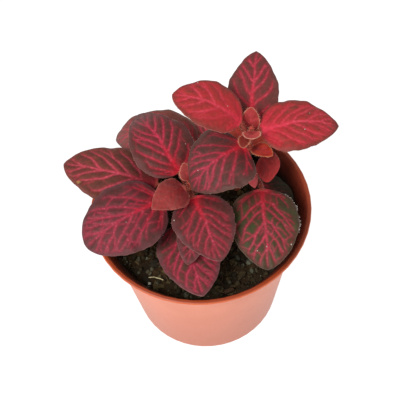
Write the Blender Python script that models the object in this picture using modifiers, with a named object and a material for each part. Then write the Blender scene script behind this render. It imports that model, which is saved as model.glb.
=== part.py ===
"""Potted nerve plant (fittonia): a young plant of three shoots in a small round nursery pot.

Lengths in the tables are millimetres and are turned into metres where meshes are made.
The pot stands on Z = 0 with its axis on Z. X runs to the plant's right, Y to its back.
"""
import math

import bpy
import bmesh
import numpy as np
from mathutils import Vector

MM = 0.001

# ---------------------------------------------------------------- driving dimensions (mm)
POT_HEIGHT = 69.0
RIM_RADIUS = 45.0          # outside of the lip
RIM_BAND = 1.6             # flat width of the lip seen from above
LIP_DEPTH = 1.1            # height of the lip's outer face
FLARE_START = 60.0         # height from which the wall opens out to the lip
BODY_TOP_RADIUS = 39.7     # outside of the wall where the flare starts
BODY_FOOT_RADIUS = 32.6    # outside of the wall at the foot
WALL = 1.0
FLOOR = 1.3
FOOT_RING = 2.2            # radial width of the ring the pot stands on
PAD_RADIUS = 11.0          # flat middle of the base, level with the foot ring
BASE_RECESS = 2.2          # how far the floor is raised between pad and foot ring
DRAIN_HOLES = 6
DRAIN_RADIUS = 4.0
DRAIN_CIRCLE = 20.5

SOIL_LEVEL = 58.0
SOIL_DOME = 1.6
GAP = 0.3                  # clearance between neighbouring pieces
HOLE_RADIUS = 2.7          # planting holes in the soil
HOLE_DEPTH = 14.0

STEM_RADIUS = 1.7
STEM_TIP = 0.9
RING_HALF = 6              # points across the upper face of a blade
BLADE = 0.55               # blade thickness at the middle

# Each shoot: where its stem runs, from inside the soil to its tip.
STEMS = {
    "left": [(-3.0, 5.0, 45.0), (-3.0, 5.0, 57.0), (-3.6, 2.2, 66.0), (-4.0, -1.5, 78.0), (-3.8, -4.4, 88.0), (-3.6, -5.4, 91.5)],
    "right": [(16.0, 14.0, 45.0), (16.0, 14.0, 57.0), (16.3, 11.3, 70.0), (17.8, 7.0, 86.0), (19.8, 4.2, 100.0), (20.8, 3.4, 110.0), (20.9, 3.5, 112.0)],
    "rear": [(2.0, 20.5, 45.0), (2.0, 20.5, 57.0), (2.0, 22.0, 66.0), (1.5, 24.0, 75.0)],
}

# Each leaf: shoot, height of its node on the stem, compass heading of the blade, and its shape.
#   stalk   length of the leaf stalk, leaving the stem at heading "out" with slope "rise"
#   pitch   slope of the blade at its base; droop is how far it turns down by the tip (degrees)
#   sweep   sideways turn of the midrib, roll tips the blade about it, cup is cross curvature (1/mm)
#   low/high  exponents of the outline: small low = broad base, small high = blunt tip
LEAVES = [
    ("left_leaf_rear", "left", 86, 118, dict(stalk=5.5, rise=40, pitch=25, droop=52, length=34, width=25.5)),
    ("left_leaf_front", "left", 86, -73, dict(stalk=3, rise=20, pitch=5, droop=25, length=29, width=24, low=0.38)),
    ("left_leaf_over_rim", "left", 80, -152, dict(stalk=10, rise=25, pitch=12, droop=50, length=35.5, width=29.5, roll=-12, low=0.38, high=0.55, out=-168)),
    ("left_leaf_outer", "left", 76, 163, dict(stalk=12, rise=35, pitch=15, droop=24, length=39, width=28, high=0.66)),
    ("left_leaf_inner", "left", 78, 40, dict(stalk=2.5, rise=10, pitch=0, droop=30, length=14, width=12)),
    ("left_tip_leaf_open", "left", 91, -141, dict(stalk=1, rise=40, pitch=19, droop=26, length=16.3, width=12.8, high=0.85, low=0.34, roll=-20)),
    ("left_tip_leaf_small", "left", 90.5, 100, dict(stalk=0.5, rise=60, pitch=35, droop=10, length=7, width=5.5, high=0.8)),
    ("rear_leaf_left", "rear", 72.5, 152, dict(stalk=1.2, rise=45, pitch=30, droop=80, length=37.5, width=30, sweep=24, low=0.36)),
    ("rear_leaf_back", "rear", 69, 75, dict(stalk=3.5, rise=35, pitch=18, droop=30, length=17, width=14)),
    ("rear_leaf_right", "rear", 72, 12, dict(stalk=3, rise=20, pitch=10, droop=40, length=24, width=18)),
    ("front_leaf_long", "left", 68, -79, dict(stalk=10.5, rise=12, pitch=8, droop=10, length=35, width=25, out=-140)),
    ("front_leaf_small", "left", 75, -103, dict(stalk=7, rise=20, pitch=2, droop=12, length=23, width=13, out=-55)),
    ("right_leaf_back", "right", 104, 80, dict(stalk=6, rise=50, pitch=22, droop=25, length=30, width=20, high=0.8)),
    ("right_leaf_left", "right", 109, 155, dict(stalk=4.2, rise=80, pitch=51, droop=72, bend=1, sweep=4, length=29, width=21.5, low=0.54, high=0.69, out=158)),
    ("right_leaf_right", "right", 107.5, 4, dict(stalk=2.1, rise=58, pitch=16, droop=58, length=31.2, width=23.4, roll=3, low=0.46, high=0.8)),
    ("right_leaf_drooping", "right", 101.5, -151, dict(stalk=0.6, rise=40, pitch=20, droop=90, length=28, width=29.5, low=0.30, bend=1.1)),
    ("right_leaf_hanging", "right", 95, -37, dict(stalk=4.6, rise=10, pitch=-38, droop=26, length=10, width=12.6, low=0.24, high=0.24, out=-14)),
    ("right_leaf_bud", "right", 90, -70, dict(stalk=3.5, rise=-20, pitch=-40, droop=20, length=8, width=5)),
    ("right_leaf_low_front", "right", 79, -92, dict(stalk=14, rise=20, pitch=7, droop=40, length=34, width=27, out=-38, high=0.66)),
    ("right_leaf_low_back", "right", 82, 80, dict(stalk=4, rise=20, pitch=10, droop=35, length=25, width=19)),
    ("right_leaf_low_side", "right", 70, -30, dict(stalk=5, rise=15, pitch=3, droop=20, length=18, width=13)),
    ("right_leaf_under", "right", 94, 155, dict(stalk=3, rise=20, pitch=5, droop=45, length=17, width=14)),
    ("right_tip_leaf_back", "right", 106.2, 80, dict(stalk=0.6, rise=70, pitch=61, droop=10, length=9.3, width=7.1, low=0.4, high=0.67, out=86)),
    ("right_tip_leaf_front", "right", 111.4, -95, dict(stalk=1.4, rise=80, pitch=12, droop=-28, length=5.2, width=6.8, cup=-0.16, low=0.26, high=0.45)),
    ("right_tip_leaf_side", "right", 104.5, 104, dict(stalk=2.5, rise=50, pitch=45, droop=2, length=13.4, width=4.8, roll=38, low=0.48, high=0.56, out=132)),
    ("right_tip_leaf_right", "right", 100.6, -42, dict(stalk=0.6, rise=30, pitch=15, droop=10, length=9, width=7, cup=-0.12)),
    ("right_tip_leaf_left", "right", 109.2, 250, dict(stalk=1.4, rise=22, pitch=-12, droop=15, length=5, width=4.4, out=206)),
]
USUAL = dict(stalk=5.0, rise=20.0, out=None, pitch=5.0, droop=30.0, bend=1.5, sweep=0.0, length=28.0, width=21.0,
             roll=0.0, cup=0.02, low=0.42, high=0.72)

LEAF_COLOURS = {
    "bright": (0.60, 0.045, 0.050, 1.0),
    "dark": (0.16, 0.030, 0.028, 1.0),
    "young": (0.62, 0.110, 0.075, 1.0),
    "green": (0.10, 0.035, 0.026, 1.0),
}
BRIGHT = {"right_leaf_left", "right_leaf_right", "right_leaf_hanging", "right_leaf_bud", "right_leaf_back"}
YOUNG = {"left_tip_leaf_open", "left_tip_leaf_small", "right_tip_leaf_back", "right_tip_leaf_front",
         "right_tip_leaf_right", "right_tip_leaf_left", "right_tip_leaf_side"}
GREEN = {"right_leaf_low_front", "right_leaf_low_side", "rear_leaf_right", "right_leaf_low_back"}


# ---------------------------------------------------------------- scene
for old in list(bpy.data.objects):
    bpy.data.objects.remove(old, do_unlink=True)

plant = bpy.data.collections.new("potted_nerve_plant")
cutters = bpy.data.collections.new("cutters")
bpy.context.scene.collection.children.link(plant)
bpy.context.scene.collection.children.link(cutters)


def material(name, colour, roughness, metallic=0.0):
    mat = bpy.data.materials.new(name)
    mat.use_nodes = True
    shader = mat.node_tree.nodes["Principled BSDF"]
    shader.inputs["Base Color"].default_value = colour
    shader.inputs["Roughness"].default_value = roughness
    shader.inputs["Metallic"].default_value = metallic
    mat.diffuse_color = colour
    return mat


def add(name, data, mat, collection=plant):
    obj = bpy.data.objects.new(name, data)
    collection.objects.link(obj)
    if mat is not None:
        obj.data.materials.append(mat)
    return obj


def smooth(obj, degrees=40.0):
    obj.data.shade_smooth()
    obj.data.set_sharp_from_angle(angle=math.radians(degrees))


def turned(name, profile, steps, mat, collection=plant):
    """Solid of revolution about Z from (radius, height) points that run down the outer side."""
    mesh = bpy.data.meshes.new(name)
    mesh.from_pydata([(r * MM, 0.0, z * MM) for r, z in profile], [(i, i + 1) for i in range(len(profile) - 1)], [])
    obj = add(name, mesh, mat, collection)
    screw = obj.modifiers.new("turn", "SCREW")
    screw.axis = "Z"
    screw.steps = steps
    screw.render_steps = steps
    screw.use_merge_vertices = True
    screw.merge_threshold = 0.00001
    screw.use_smooth_shade = True
    return obj


def baked(obj):
    """Replace an object's data by its evaluated mesh."""
    graph = bpy.context.evaluated_depsgraph_get()
    mesh = bpy.data.meshes.new_from_object(obj.evaluated_get(graph))
    mesh.name = obj.name
    obj.modifiers.clear()
    obj.data = mesh
    return obj


def cylinder_cutter(name, radius, depth, centre, sides):
    bm = bmesh.new()
    bmesh.ops.create_cone(bm, cap_ends=True, segments=sides, radius1=radius * MM, radius2=radius * MM, depth=depth * MM)
    mesh = bpy.data.meshes.new(name)
    bm.to_mesh(mesh)
    bm.free()
    obj = add(name, mesh, None, cutters)
    obj.location = Vector(centre) * MM
    obj.hide_render = True
    obj.display_type = "WIRE"
    return obj


def cut(obj, cutter):
    mod = obj.modifiers.new("cut_" + cutter.name, "BOOLEAN")
    mod.operation = "DIFFERENCE"
    mod.object = cutter


# ---------------------------------------------------------------- pot
def body_radius(z):
    return BODY_FOOT_RADIUS + (BODY_TOP_RADIUS - BODY_FOOT_RADIUS) * z / FLARE_START


def inner_radius(z):
    return body_radius(z) - WALL


def build_pot():
    clay = material("pot_terracotta_plastic", (0.72, 0.25, 0.15, 1.0), 0.42)
    floor = BASE_RECESS + FLOOR
    rim_in = RIM_RADIUS - RIM_BAND
    profile = [
        (0.0, FLOOR), (PAD_RADIUS, FLOOR), (PAD_RADIUS + 2.0, floor),
        (inner_radius(floor) - 1.5, floor), (inner_radius(floor + 1.5), floor + 1.5),
        (inner_radius(24.0), 24.0), (inner_radius(45.0), 45.0), (inner_radius(FLARE_START - 0.5), FLARE_START - 0.5),
        (rim_in - 0.3, POT_HEIGHT - 0.4), (rim_in + 0.1, POT_HEIGHT),
        (RIM_RADIUS - 0.6, POT_HEIGHT), (RIM_RADIUS - 0.15, POT_HEIGHT - 0.2), (RIM_RADIUS, POT_HEIGHT - 0.6),
        (RIM_RADIUS, POT_HEIGHT - LIP_DEPTH + 0.2), (RIM_RADIUS - 0.4, POT_HEIGHT - LIP_DEPTH),
        (RIM_RADIUS - 0.9, POT_HEIGHT - LIP_DEPTH - 0.1), (BODY_TOP_RADIUS, FLARE_START),
        (body_radius(45.0), 45.0), (body_radius(24.0), 24.0), (body_radius(1.2), 1.2),
        (BODY_FOOT_RADIUS - 0.3, 0.3), (BODY_FOOT_RADIUS - 0.8, 0.0),
        (BODY_FOOT_RADIUS - FOOT_RING, 0.0), (BODY_FOOT_RADIUS - FOOT_RING - 0.8, BASE_RECESS),
        (PAD_RADIUS + 0.8, BASE_RECESS), (PAD_RADIUS, 0.0), (0.0, 0.0),
    ]
    pot = turned("pot", profile, 48, clay)
    for k in range(DRAIN_HOLES):
        a = 2.0 * math.pi * (k + 0.5) / DRAIN_HOLES
        hole = cylinder_cutter("drain_%d" % (k + 1), DRAIN_RADIUS, 8.0,
                               (DRAIN_CIRCLE * math.cos(a), DRAIN_CIRCLE * math.sin(a), BASE_RECESS + FLOOR / 2.0), 16)
        cut(pot, hole)
    baked(pot)
    smooth(pot, 35.0)
    return pot


# ---------------------------------------------------------------- soil
def soil_height(x, y):
    """Surface of the potting mix: slightly domed and uneven."""
    r = math.hypot(x, y) / inner_radius(SOIL_LEVEL)
    dome = SOIL_DOME * (1.0 - r * r)
    lumps = 0.35 * math.sin(0.31 * x + 0.8) * math.cos(0.27 * y - 0.4) + 0.2 * math.sin(0.17 * x - 0.23 * y)
    return SOIL_LEVEL - SOIL_DOME * 0.5 + dome + lumps


def build_soil():
    earth = material("potting_mix", (0.035, 0.018, 0.010, 1.0), 0.95)
    floor = BASE_RECESS + FLOOR + GAP
    top = SOIL_LEVEL - SOIL_DOME * 0.5
    edge = inner_radius(top) - GAP - 0.1
    profile = [(0.0, top)]
    profile += [(edge * f, top) for f in (0.2, 0.4, 0.6, 0.8, 1.0)]
    profile += [(inner_radius(24.0) - GAP - 0.1, 24.0), (inner_radius(floor + 1.5) - GAP - 0.1, floor + 1.9),
                (inner_radius(floor) - 1.9 - GAP, floor), (PAD_RADIUS + 1.8, floor),
                (PAD_RADIUS - 0.4, FLOOR + GAP), (0.0, FLOOR + GAP)]
    soil = baked(turned("soil", profile, 40, earth))
    for vertex in soil.data.vertices:
        if vertex.co.z > (top - 0.05) * MM:
            x, y = vertex.co.x / MM, vertex.co.y / MM
            vertex.co.z = soil_height(x, y) * MM
    for shoot, route in STEMS.items():
        x, y, _ = route[0]
        hole = cylinder_cutter("planting_hole_" + shoot, HOLE_RADIUS, HOLE_DEPTH + 10.0,
                               (x, y, SOIL_LEVEL - HOLE_DEPTH + (HOLE_DEPTH + 10.0) / 2.0), 12)
        cut(soil, hole)
    baked(soil)
    smooth(soil, 30.0)
    return soil


# ---------------------------------------------------------------- stems
def along(route, z):
    """Point of a shoot's centre line at height z."""
    for a, b in zip(route, route[1:]):
        if a[2] <= z <= b[2]:
            k = (z - a[2]) / (b[2] - a[2])
            return np.array([a[i] + k * (b[i] - a[i]) for i in range(3)])
    return np.array(route[-1], float)


def stem_radius(route, z):
    k = min(1.0, max(0.0, (z - SOIL_LEVEL) / (route[-1][2] - SOIL_LEVEL)))
    return STEM_RADIUS + (STEM_TIP - STEM_RADIUS) * k


def build_stem(shoot, mat):
    route = STEMS[shoot]
    curve = bpy.data.curves.new("stem_" + shoot, "CURVE")
    curve.dimensions = "3D"
    curve.bevel_depth = MM
    curve.bevel_resolution = 2
    curve.use_fill_caps = True
    spline = curve.splines.new("POLY")
    stations = []
    for a, b in zip(route, route[1:]):
        n = 3
        stations += [a[2] + (b[2] - a[2]) * i / n for i in range(n)]
    stations.append(route[-1][2])
    spline.points.add(len(stations) - 1)
    for point, z in zip(spline.points, stations):
        p = along(route, z) * MM
        point.co = (p[0], p[1], p[2], 1.0)
        point.radius = stem_radius(route, z)
    guide = add("stem_guide_" + shoot, curve, None)
    graph = bpy.context.evaluated_depsgraph_get()
    mesh = bpy.data.meshes.new_from_object(guide.evaluated_get(graph))
    bm = bmesh.new()
    bm.from_mesh(mesh)
    bmesh.ops.remove_doubles(bm, verts=bm.verts, dist=0.00001)
    bm.to_mesh(mesh)
    bm.free()
    world = guide.matrix_world.copy()
    bpy.data.objects.remove(guide, do_unlink=True)
    mesh.name = "stem_" + shoot
    stem = add("stem_" + shoot, mesh, mat)
    stem.matrix_world = world
    smooth(stem)
    return stem


# ---------------------------------------------------------------- leaves
def walk(start, heading, slope, length, turn, drop, bend, n):
    """Points and directions along a curve that turns sideways by turn and down by drop."""
    fine = 8
    p = np.array(start, float)
    points, angles = [], []
    for i in range(n * fine + 1):
        if i % fine == 0:
            u = i / (n * fine)
            points.append(p.copy())
            angles.append((math.radians(heading + turn * u), math.radians(slope - drop * u ** bend)))
        u = (i + 0.5) / (n * fine)
        a, e = math.radians(heading + turn * u), math.radians(slope - drop * u ** bend)
        p = p + length / (n * fine) * np.array([math.cos(e) * math.cos(a), math.cos(e) * math.sin(a), math.sin(e)])
    return points, angles


def frame_of(angle, roll):
    """Direction, left side and upper face of a blade or stalk."""
    a, e = angle
    t = np.array([math.cos(e) * math.cos(a), math.cos(e) * math.sin(a), math.sin(e)])
    side = np.array([-math.sin(a), math.cos(a), 0.0])
    up = np.cross(t, side)
    r = math.radians(roll)
    return t, side * math.cos(r) + up * math.sin(r), up * math.cos(r) - side * math.sin(r)


def half_width(u, leaf):
    peak = leaf["low"] / (leaf["low"] + leaf["high"])
    top = peak ** leaf["low"] * (1.0 - peak) ** leaf["high"]
    return 0.5 * leaf["width"] * u ** leaf["low"] * (1.0 - u) ** leaf["high"] / top


def build_leaf(name, shoot, height, heading, given, mat):
    leaf = dict(USUAL)
    leaf.update(given)
    route = STEMS[shoot]
    out = heading if leaf["out"] is None else leaf["out"]
    stalk_r = 0.42 + 0.016 * leaf["length"]
    a = math.radians(out)
    tilt = abs(math.sin(math.radians(leaf["rise"]))) + 0.12
    clear = stem_radius(route, height) + GAP + stalk_r * tilt
    start = along(route, height) + clear * np.array([math.cos(a), math.sin(a), 0.0])
    stalk, stalk_angles = walk(start, out, leaf["rise"], leaf["stalk"], heading - out, leaf["rise"] - leaf["pitch"], 1.0, 3)
    n = 40
    rib, rib_angles = walk(stalk[-1], heading, leaf["pitch"], leaf["length"], leaf["sweep"], leaf["droop"], leaf["bend"], n)

    rings = []
    for p, angle in zip(stalk, stalk_angles):
        t, s, up = frame_of(angle, leaf["roll"])
        ring = []
        for k in range(2 * RING_HALF):
            phi = math.pi * k / RING_HALF
            ring.append(p + stalk_r * (math.cos(phi) * s + math.sin(phi) * up))
        rings.append(ring)
    cup = leaf["cup"]
    for u in (0.014, 0.06, 0.13, 0.22, 0.33, 0.45, 0.575, 0.7, 0.81, 0.9, 0.965):
        i = min(int(u * n), n - 1)
        k = u * n - i
        p = rib[i] * (1.0 - k) + rib[i + 1] * k
        angle = tuple(rib_angles[i][j] * (1.0 - k) + rib_angles[i + 1][j] * k for j in (0, 1))
        t, s, up = frame_of(angle, leaf["roll"])
        half = half_width(u, leaf)
        thick = BLADE * (0.6 + 0.4 * min(1.0, leaf["length"] / 25.0))
        ring = []
        for j in range(2 * RING_HALF):
            v = 1.0 - 2.0 * j / RING_HALF if j <= RING_HALF else -1.0 + 2.0 * (j - RING_HALF) / RING_HALF
            across = v * half
            lateral = math.sin(cup * across) / cup
            sag = (1.0 - math.cos(cup * across)) / cup
            swell = 0.5 * thick * (1.0 - v * v)
            if j > RING_HALF:
                rib_depth = stalk_r * 0.9 * (1.0 - u) * math.exp(-(across / (1.2 * stalk_r)) ** 2)
                swell = -swell - rib_depth
            ring.append(p + s * lateral + up * (swell - sag))
        rings.append(ring)
    tip = rib[-1]

    bm = bmesh.new()
    grid = [[bm.verts.new(tuple(q * MM)) for q in ring] for ring in rings]
    count = 2 * RING_HALF
    for low_ring, high_ring in zip(grid, grid[1:]):
        for j in range(count):
            m = (j + 1) % count
            bm.faces.new((low_ring[j], low_ring[m], high_ring[m], high_ring[j]))
    bm.faces.new(list(reversed(grid[0])))
    end = bm.verts.new(tuple(tip * MM))
    for j in range(count):
        bm.faces.new((grid[-1][j], grid[-1][(j + 1) % count], end))
    bmesh.ops.triangulate(bm, faces=bm.faces)
    bmesh.ops.recalc_face_normals(bm, faces=bm.faces)
    mesh = bpy.data.meshes.new(name)
    bm.to_mesh(mesh)
    bm.free()
    obj = add(name, mesh, mat)
    smooth(obj, 60.0)
    return obj


# ---------------------------------------------------------------- fragments lying on the soil
def build_chip(name, centre, size, turn, tilt, mat):
    """An angular fragment: a bevelled block with its corners pulled about by a fixed rule."""
    bm = bmesh.new()
    bmesh.ops.create_cube(bm, size=1.0)
    for i, vertex in enumerate(bm.verts):
        wobble = 0.22 * math.sin(2.3 * i + 5.0 * turn)
        vertex.co = Vector((vertex.co.x * (1.0 + wobble) * size[0], vertex.co.y * (1.0 - wobble) * size[1], vertex.co.z * size[2]))
    bmesh.ops.scale(bm, vec=(MM, MM, MM), verts=bm.verts)
    bmesh.ops.bevel(bm, geom=list(bm.edges), offset=0.18 * min(size) * MM, segments=1, affect="EDGES")
    mesh = bpy.data.meshes.new(name)
    bm.to_mesh(mesh)
    bm.free()
    obj = add(name, mesh, mat)
    x, y = centre
    lift = soil_height(x, y) + GAP + 0.25 + 0.5 * size[2] + 0.5 * size[0] * abs(math.sin(math.radians(tilt)))
    obj.location = (x * MM, y * MM, lift * MM)
    obj.rotation_euler = (0.0, math.radians(tilt), math.radians(turn))
    return obj


def build_straw(name, start, end, mat):
    curve = bpy.data.curves.new(name, "CURVE")
    curve.dimensions = "3D"
    curve.bevel_depth = 0.35 * MM
    curve.bevel_resolution = 1
    curve.use_fill_caps = True
    spline = curve.splines.new("POLY")
    n = 5
    spline.points.add(n)
    for i, point in enumerate(spline.points):
        k = i / n
        x = start[0] + (end[0] - start[0]) * k
        y = start[1] + (end[1] - start[1]) * k + 0.8 * math.sin(math.pi * k)
        z = max(soil_height(x, y), soil_height(x, y - 1.0), soil_height(x, y + 1.0)) + GAP + 0.6
        point.co = (x * MM, y * MM, z * MM, 1.0)
    guide = add(name + "_guide", curve, None)
    graph = bpy.context.evaluated_depsgraph_get()
    mesh = bpy.data.meshes.new_from_object(guide.evaluated_get(graph))
    bm = bmesh.new()
    bm.from_mesh(mesh)
    bmesh.ops.remove_doubles(bm, verts=bm.verts, dist=0.00001)
    bm.to_mesh(mesh)
    bm.free()
    bpy.data.objects.remove(guide, do_unlink=True)
    mesh.name = name
    obj = add(name, mesh, mat)
    smooth(obj)
    return obj


build_pot()
build_soil()

stem_mat = material("stem", (0.30, 0.085, 0.060, 1.0), 0.6)
for shoot_name in STEMS:
    build_stem(shoot_name, stem_mat)

leaf_mats = {key: material("leaf_" + key, colour, 0.38) for key, colour in LEAF_COLOURS.items()}
for leaf_name, shoot_name, node_height, blade_heading, shape in LEAVES:
    kind = ("bright" if leaf_name in BRIGHT else "young" if leaf_name in YOUNG
            else "green" if leaf_name in GREEN else "dark")
    build_leaf(leaf_name, shoot_name, node_height, blade_heading, shape, leaf_mats[kind])

bark = material("bark", (0.11, 0.055, 0.030, 1.0), 0.9)
pale = material("perlite", (0.55, 0.50, 0.42, 1.0), 0.85)
straw = material("straw", (0.48, 0.38, 0.22, 1.0), 0.7)
build_chip("bark_chip_front", (8.5, -35.0), (4.6, 2.2, 1.2), 20.0, 6.0, bark)
build_chip("bark_chip_left", (-17.5, -21.5), (4.0, 2.0, 1.1), -35.0, -5.0, bark)
build_chip("bark_chip_rear", (-16.0, 28.0), (5.0, 2.6, 1.4), 60.0, 5.0, bark)
build_chip("perlite_grain_left", (-22.8, -28.8), (1.6, 1.4, 1.2), 10.0, 0.0, pale)
build_chip("perlite_grain_rear", (14.0, 27.0), (1.9, 1.5, 1.4), 40.0, 0.0, pale)
build_straw("straw_fragment", (-23.0, -26.1), (-17.2, -27.8), straw)
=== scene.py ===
"""Looks of the potted nerve plant: leaves with their vein net, hairy stems, potting mix and the moulded pot.

Shapes repeat the plan of the CAD part (millimetres here, metres in the meshes) at full detail:
blades quilted between sunken veins, waved margins, stalks that grow out of the stems, crumbs and
fibres in the potting mix. Nothing is moved or resized against the frame.
"""
import math

import bpy
import numpy as np
from mathutils import Matrix, Vector


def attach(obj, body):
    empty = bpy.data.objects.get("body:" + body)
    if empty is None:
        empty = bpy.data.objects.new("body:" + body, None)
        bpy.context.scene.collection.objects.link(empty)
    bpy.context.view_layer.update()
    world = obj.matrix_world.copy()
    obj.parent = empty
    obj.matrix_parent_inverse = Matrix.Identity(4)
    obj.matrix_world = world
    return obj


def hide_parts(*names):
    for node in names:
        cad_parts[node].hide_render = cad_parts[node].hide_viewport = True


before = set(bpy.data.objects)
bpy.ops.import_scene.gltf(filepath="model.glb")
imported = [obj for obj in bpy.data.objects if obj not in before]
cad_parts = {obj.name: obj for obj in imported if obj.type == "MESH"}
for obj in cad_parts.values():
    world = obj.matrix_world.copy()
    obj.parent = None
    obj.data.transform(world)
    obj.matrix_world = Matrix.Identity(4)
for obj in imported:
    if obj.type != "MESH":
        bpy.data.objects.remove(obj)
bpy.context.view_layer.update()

MM = 0.001

# ------------------------------------------------------------------ camera
scene = bpy.context.scene
ELEVATION, TILT = math.radians(56.2), math.radians(4.68)
back = Vector((0.0, -math.cos(ELEVATION), math.sin(ELEVATION)))
right = Vector((1.0, 0.0, 0.0))
upward = Vector((0.0, math.sin(ELEVATION), math.cos(ELEVATION)))
cam_x = right * math.cos(TILT) - upward * math.sin(TILT)
cam_y = right * math.sin(TILT) + upward * math.cos(TILT)
cam_data = bpy.data.cameras.new("camera")
cam_data.lens = 72.0
cam_data.sensor_width = 36.0
cam_data.clip_start = 0.01
cam_data.clip_end = 20.0
camera = bpy.data.objects.new("camera", cam_data)
camera.matrix_world = Matrix((
    (cam_x.x, cam_y.x, back.x, -0.000045),
    (cam_x.y, cam_y.y, back.y, -0.17978),
    (cam_x.z, cam_y.z, back.z, 0.34071),
    (0.0, 0.0, 0.0, 1.0)))
scene.collection.objects.link(camera)
scene.camera = camera
scene.view_settings.view_transform = "Standard"
scene.view_settings.look = "None"
scene.view_settings.exposure = 0.0
scene.view_settings.gamma = 1.0


# ------------------------------------------------------------------ small helpers
def rgb(r, g, b):
    """Colour from display values 0-255."""
    out = []
    for value in (r, g, b):
        c = max(0.0, value) / 255.0
        out.append(c / 12.92 if c <= 0.04045 else ((c + 0.055) / 1.055) ** 2.4)
    return (out[0], out[1], out[2], 1.0)


def smooth_step(lo, hi, x):
    k = np.clip((x - lo) / (hi - lo), 0.0, 1.0)
    return k * k * (3.0 - 2.0 * k)


def seeded(name):
    return np.random.RandomState(sum((i + 3) * ord(ch) for i, ch in enumerate(name)) % 100000)


class Lattice:
    """Smooth value noise over a plane, in [-1, 1]."""

    def __init__(self, seed, size=64):
        self.size = size
        self.grid = np.random.RandomState(seed).uniform(-1.0, 1.0, (size, size))

    def __call__(self, x, y):
        xi, yi = np.floor(x).astype(int), np.floor(y).astype(int)
        fx, fy = x - xi, y - yi
        fx, fy = fx * fx * (3 - 2 * fx), fy * fy * (3 - 2 * fy)
        s = self.size
        a, b = self.grid[xi % s, yi % s], self.grid[(xi + 1) % s, yi % s]
        c, d = self.grid[xi % s, (yi + 1) % s], self.grid[(xi + 1) % s, (yi + 1) % s]
        return (a * (1 - fx) + b * fx) * (1 - fy) + (c * (1 - fx) + d * fx) * fy


def mesh_piece(name, verts, faces, mat, attributes=None, flat=False):
    """A new object from points in millimetres."""
    mesh = bpy.data.meshes.new(name)
    mesh.from_pydata((np.asarray(verts) * MM).tolist(), [], [tuple(int(i) for i in f) for f in faces])
    for key, values in (attributes or {}).items():
        layer = mesh.attributes.new(key, "FLOAT", "POINT")
        layer.data.foreach_set("value", np.asarray(values, dtype=np.float32))
    mesh.update()
    if not flat:
        mesh.shade_smooth()
    obj = bpy.data.objects.new(name, mesh)
    scene.collection.objects.link(obj)
    obj.data.materials.append(mat)
    return obj


def settle(obj, slot, *nodes):
    if nodes:
        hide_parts(*nodes)
    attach(obj, "root")
    return obj


class Nodes:
    """Short way to write a node material."""

    def __init__(self, name):
        self.mat = bpy.data.materials.new(name)
        self.mat.use_nodes = True
        self.tree = self.mat.node_tree
        self.bsdf = self.tree.nodes["Principled BSDF"]
        self.coord = None

    def link(self, a, b):
        self.tree.links.new(a, b)

    def put(self, socket, value):
        if isinstance(value, bpy.types.NodeSocket):
            self.link(value, socket)
        else:
            socket.default_value = value

    def new(self, kind):
        return self.tree.nodes.new(kind)

    def place(self):
        if self.coord is None:
            self.coord = self.new("ShaderNodeTexCoord").outputs["Object"]
        return self.coord

    def attr(self, name):
        node = self.new("ShaderNodeAttribute")
        node.attribute_name = name
        return node.outputs["Fac"]

    def noise(self, size_mm, detail=2.0, rough=0.5, stretch=None, distortion=0.0):
        node = self.new("ShaderNodeTexNoise")
        node.inputs["Scale"].default_value = 1.0 / (size_mm * MM)
        node.inputs["Detail"].default_value = detail
        node.inputs["Roughness"].default_value = rough
        node.inputs["Distortion"].default_value = distortion
        if stretch is None:
            self.link(self.place(), node.inputs["Vector"])
        else:
            m = self.new("ShaderNodeMapping")
            m.inputs["Scale"].default_value = stretch
            self.link(self.place(), m.inputs["Vector"])
            self.link(m.outputs["Vector"], node.inputs["Vector"])
        return node.outputs["Fac"]

    def voronoi(self, size_mm, feature="F1"):
        node = self.new("ShaderNodeTexVoronoi")
        node.feature = feature
        node.inputs["Scale"].default_value = 1.0 / (size_mm * MM)
        self.link(self.place(), node.inputs["Vector"])
        return node.outputs["Distance"]

    def ramp(self, value, lo, hi, a=0.0, b=1.0, soft=True):
        node = self.new("ShaderNodeMapRange")
        node.interpolation_type = "SMOOTHSTEP" if soft else "LINEAR"
        self.put(node.inputs["Value"], value)
        node.inputs["From Min"].default_value = lo
        node.inputs["From Max"].default_value = hi
        node.inputs["To Min"].default_value = a
        node.inputs["To Max"].default_value = b
        return node.outputs["Result"]

    def math(self, op, a, b=0.0):
        node = self.new("ShaderNodeMath")
        node.operation = op
        self.put(node.inputs[0], a)
        self.put(node.inputs[1], b)
        return node.outputs[0]

    def mix(self, fac, a, b, blend="MIX"):
        node = self.new("ShaderNodeMix")
        node.data_type = "RGBA"
        node.blend_type = blend
        self.put(node.inputs["Factor"], fac)
        self.put(node.inputs["A"], a) if False else self.put(node.inputs[6], a)
        self.put(node.inputs[7], b)
        return node.outputs[2]

    def bump(self, height, depth_mm, strength=1.0, normal=None):
        node = self.new("ShaderNodeBump")
        node.inputs["Distance"].default_value = depth_mm * MM
        node.inputs["Strength"].default_value = strength
        self.link(height, node.inputs["Height"])
        if normal is not None:
            self.link(normal, node.inputs["Normal"])
        return node.outputs["Normal"]

    def finish(self, colour, rough, normal=None, **uniform):
        self.put(self.bsdf.inputs["Base Color"], colour)
        self.put(self.bsdf.inputs["Roughness"], rough)
        if normal is not None:
            self.link(normal, self.bsdf.inputs["Normal"])
        for key, value in uniform.items():
            self.bsdf.inputs[key.replace("_", " ")].default_value = value
        return self.mat


# ------------------------------------------------------------------ the plan shared with the CAD part (mm)
POT_HEIGHT, RIM_RADIUS, RIM_BAND, LIP_DEPTH, FLARE_START = 69.0, 45.0, 1.6, 1.1, 60.0
BODY_TOP_RADIUS, BODY_FOOT_RADIUS, WALL, FLOOR, BASE_RECESS, PAD_RADIUS = 39.7, 32.6, 1.0, 1.3, 2.2, 11.0
SOIL_LEVEL, SOIL_DOME, GAP = 58.0, 1.6, 0.3
STEM_RADIUS, STEM_TIP, BLADE = 1.7, 0.9, 0.55

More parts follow.
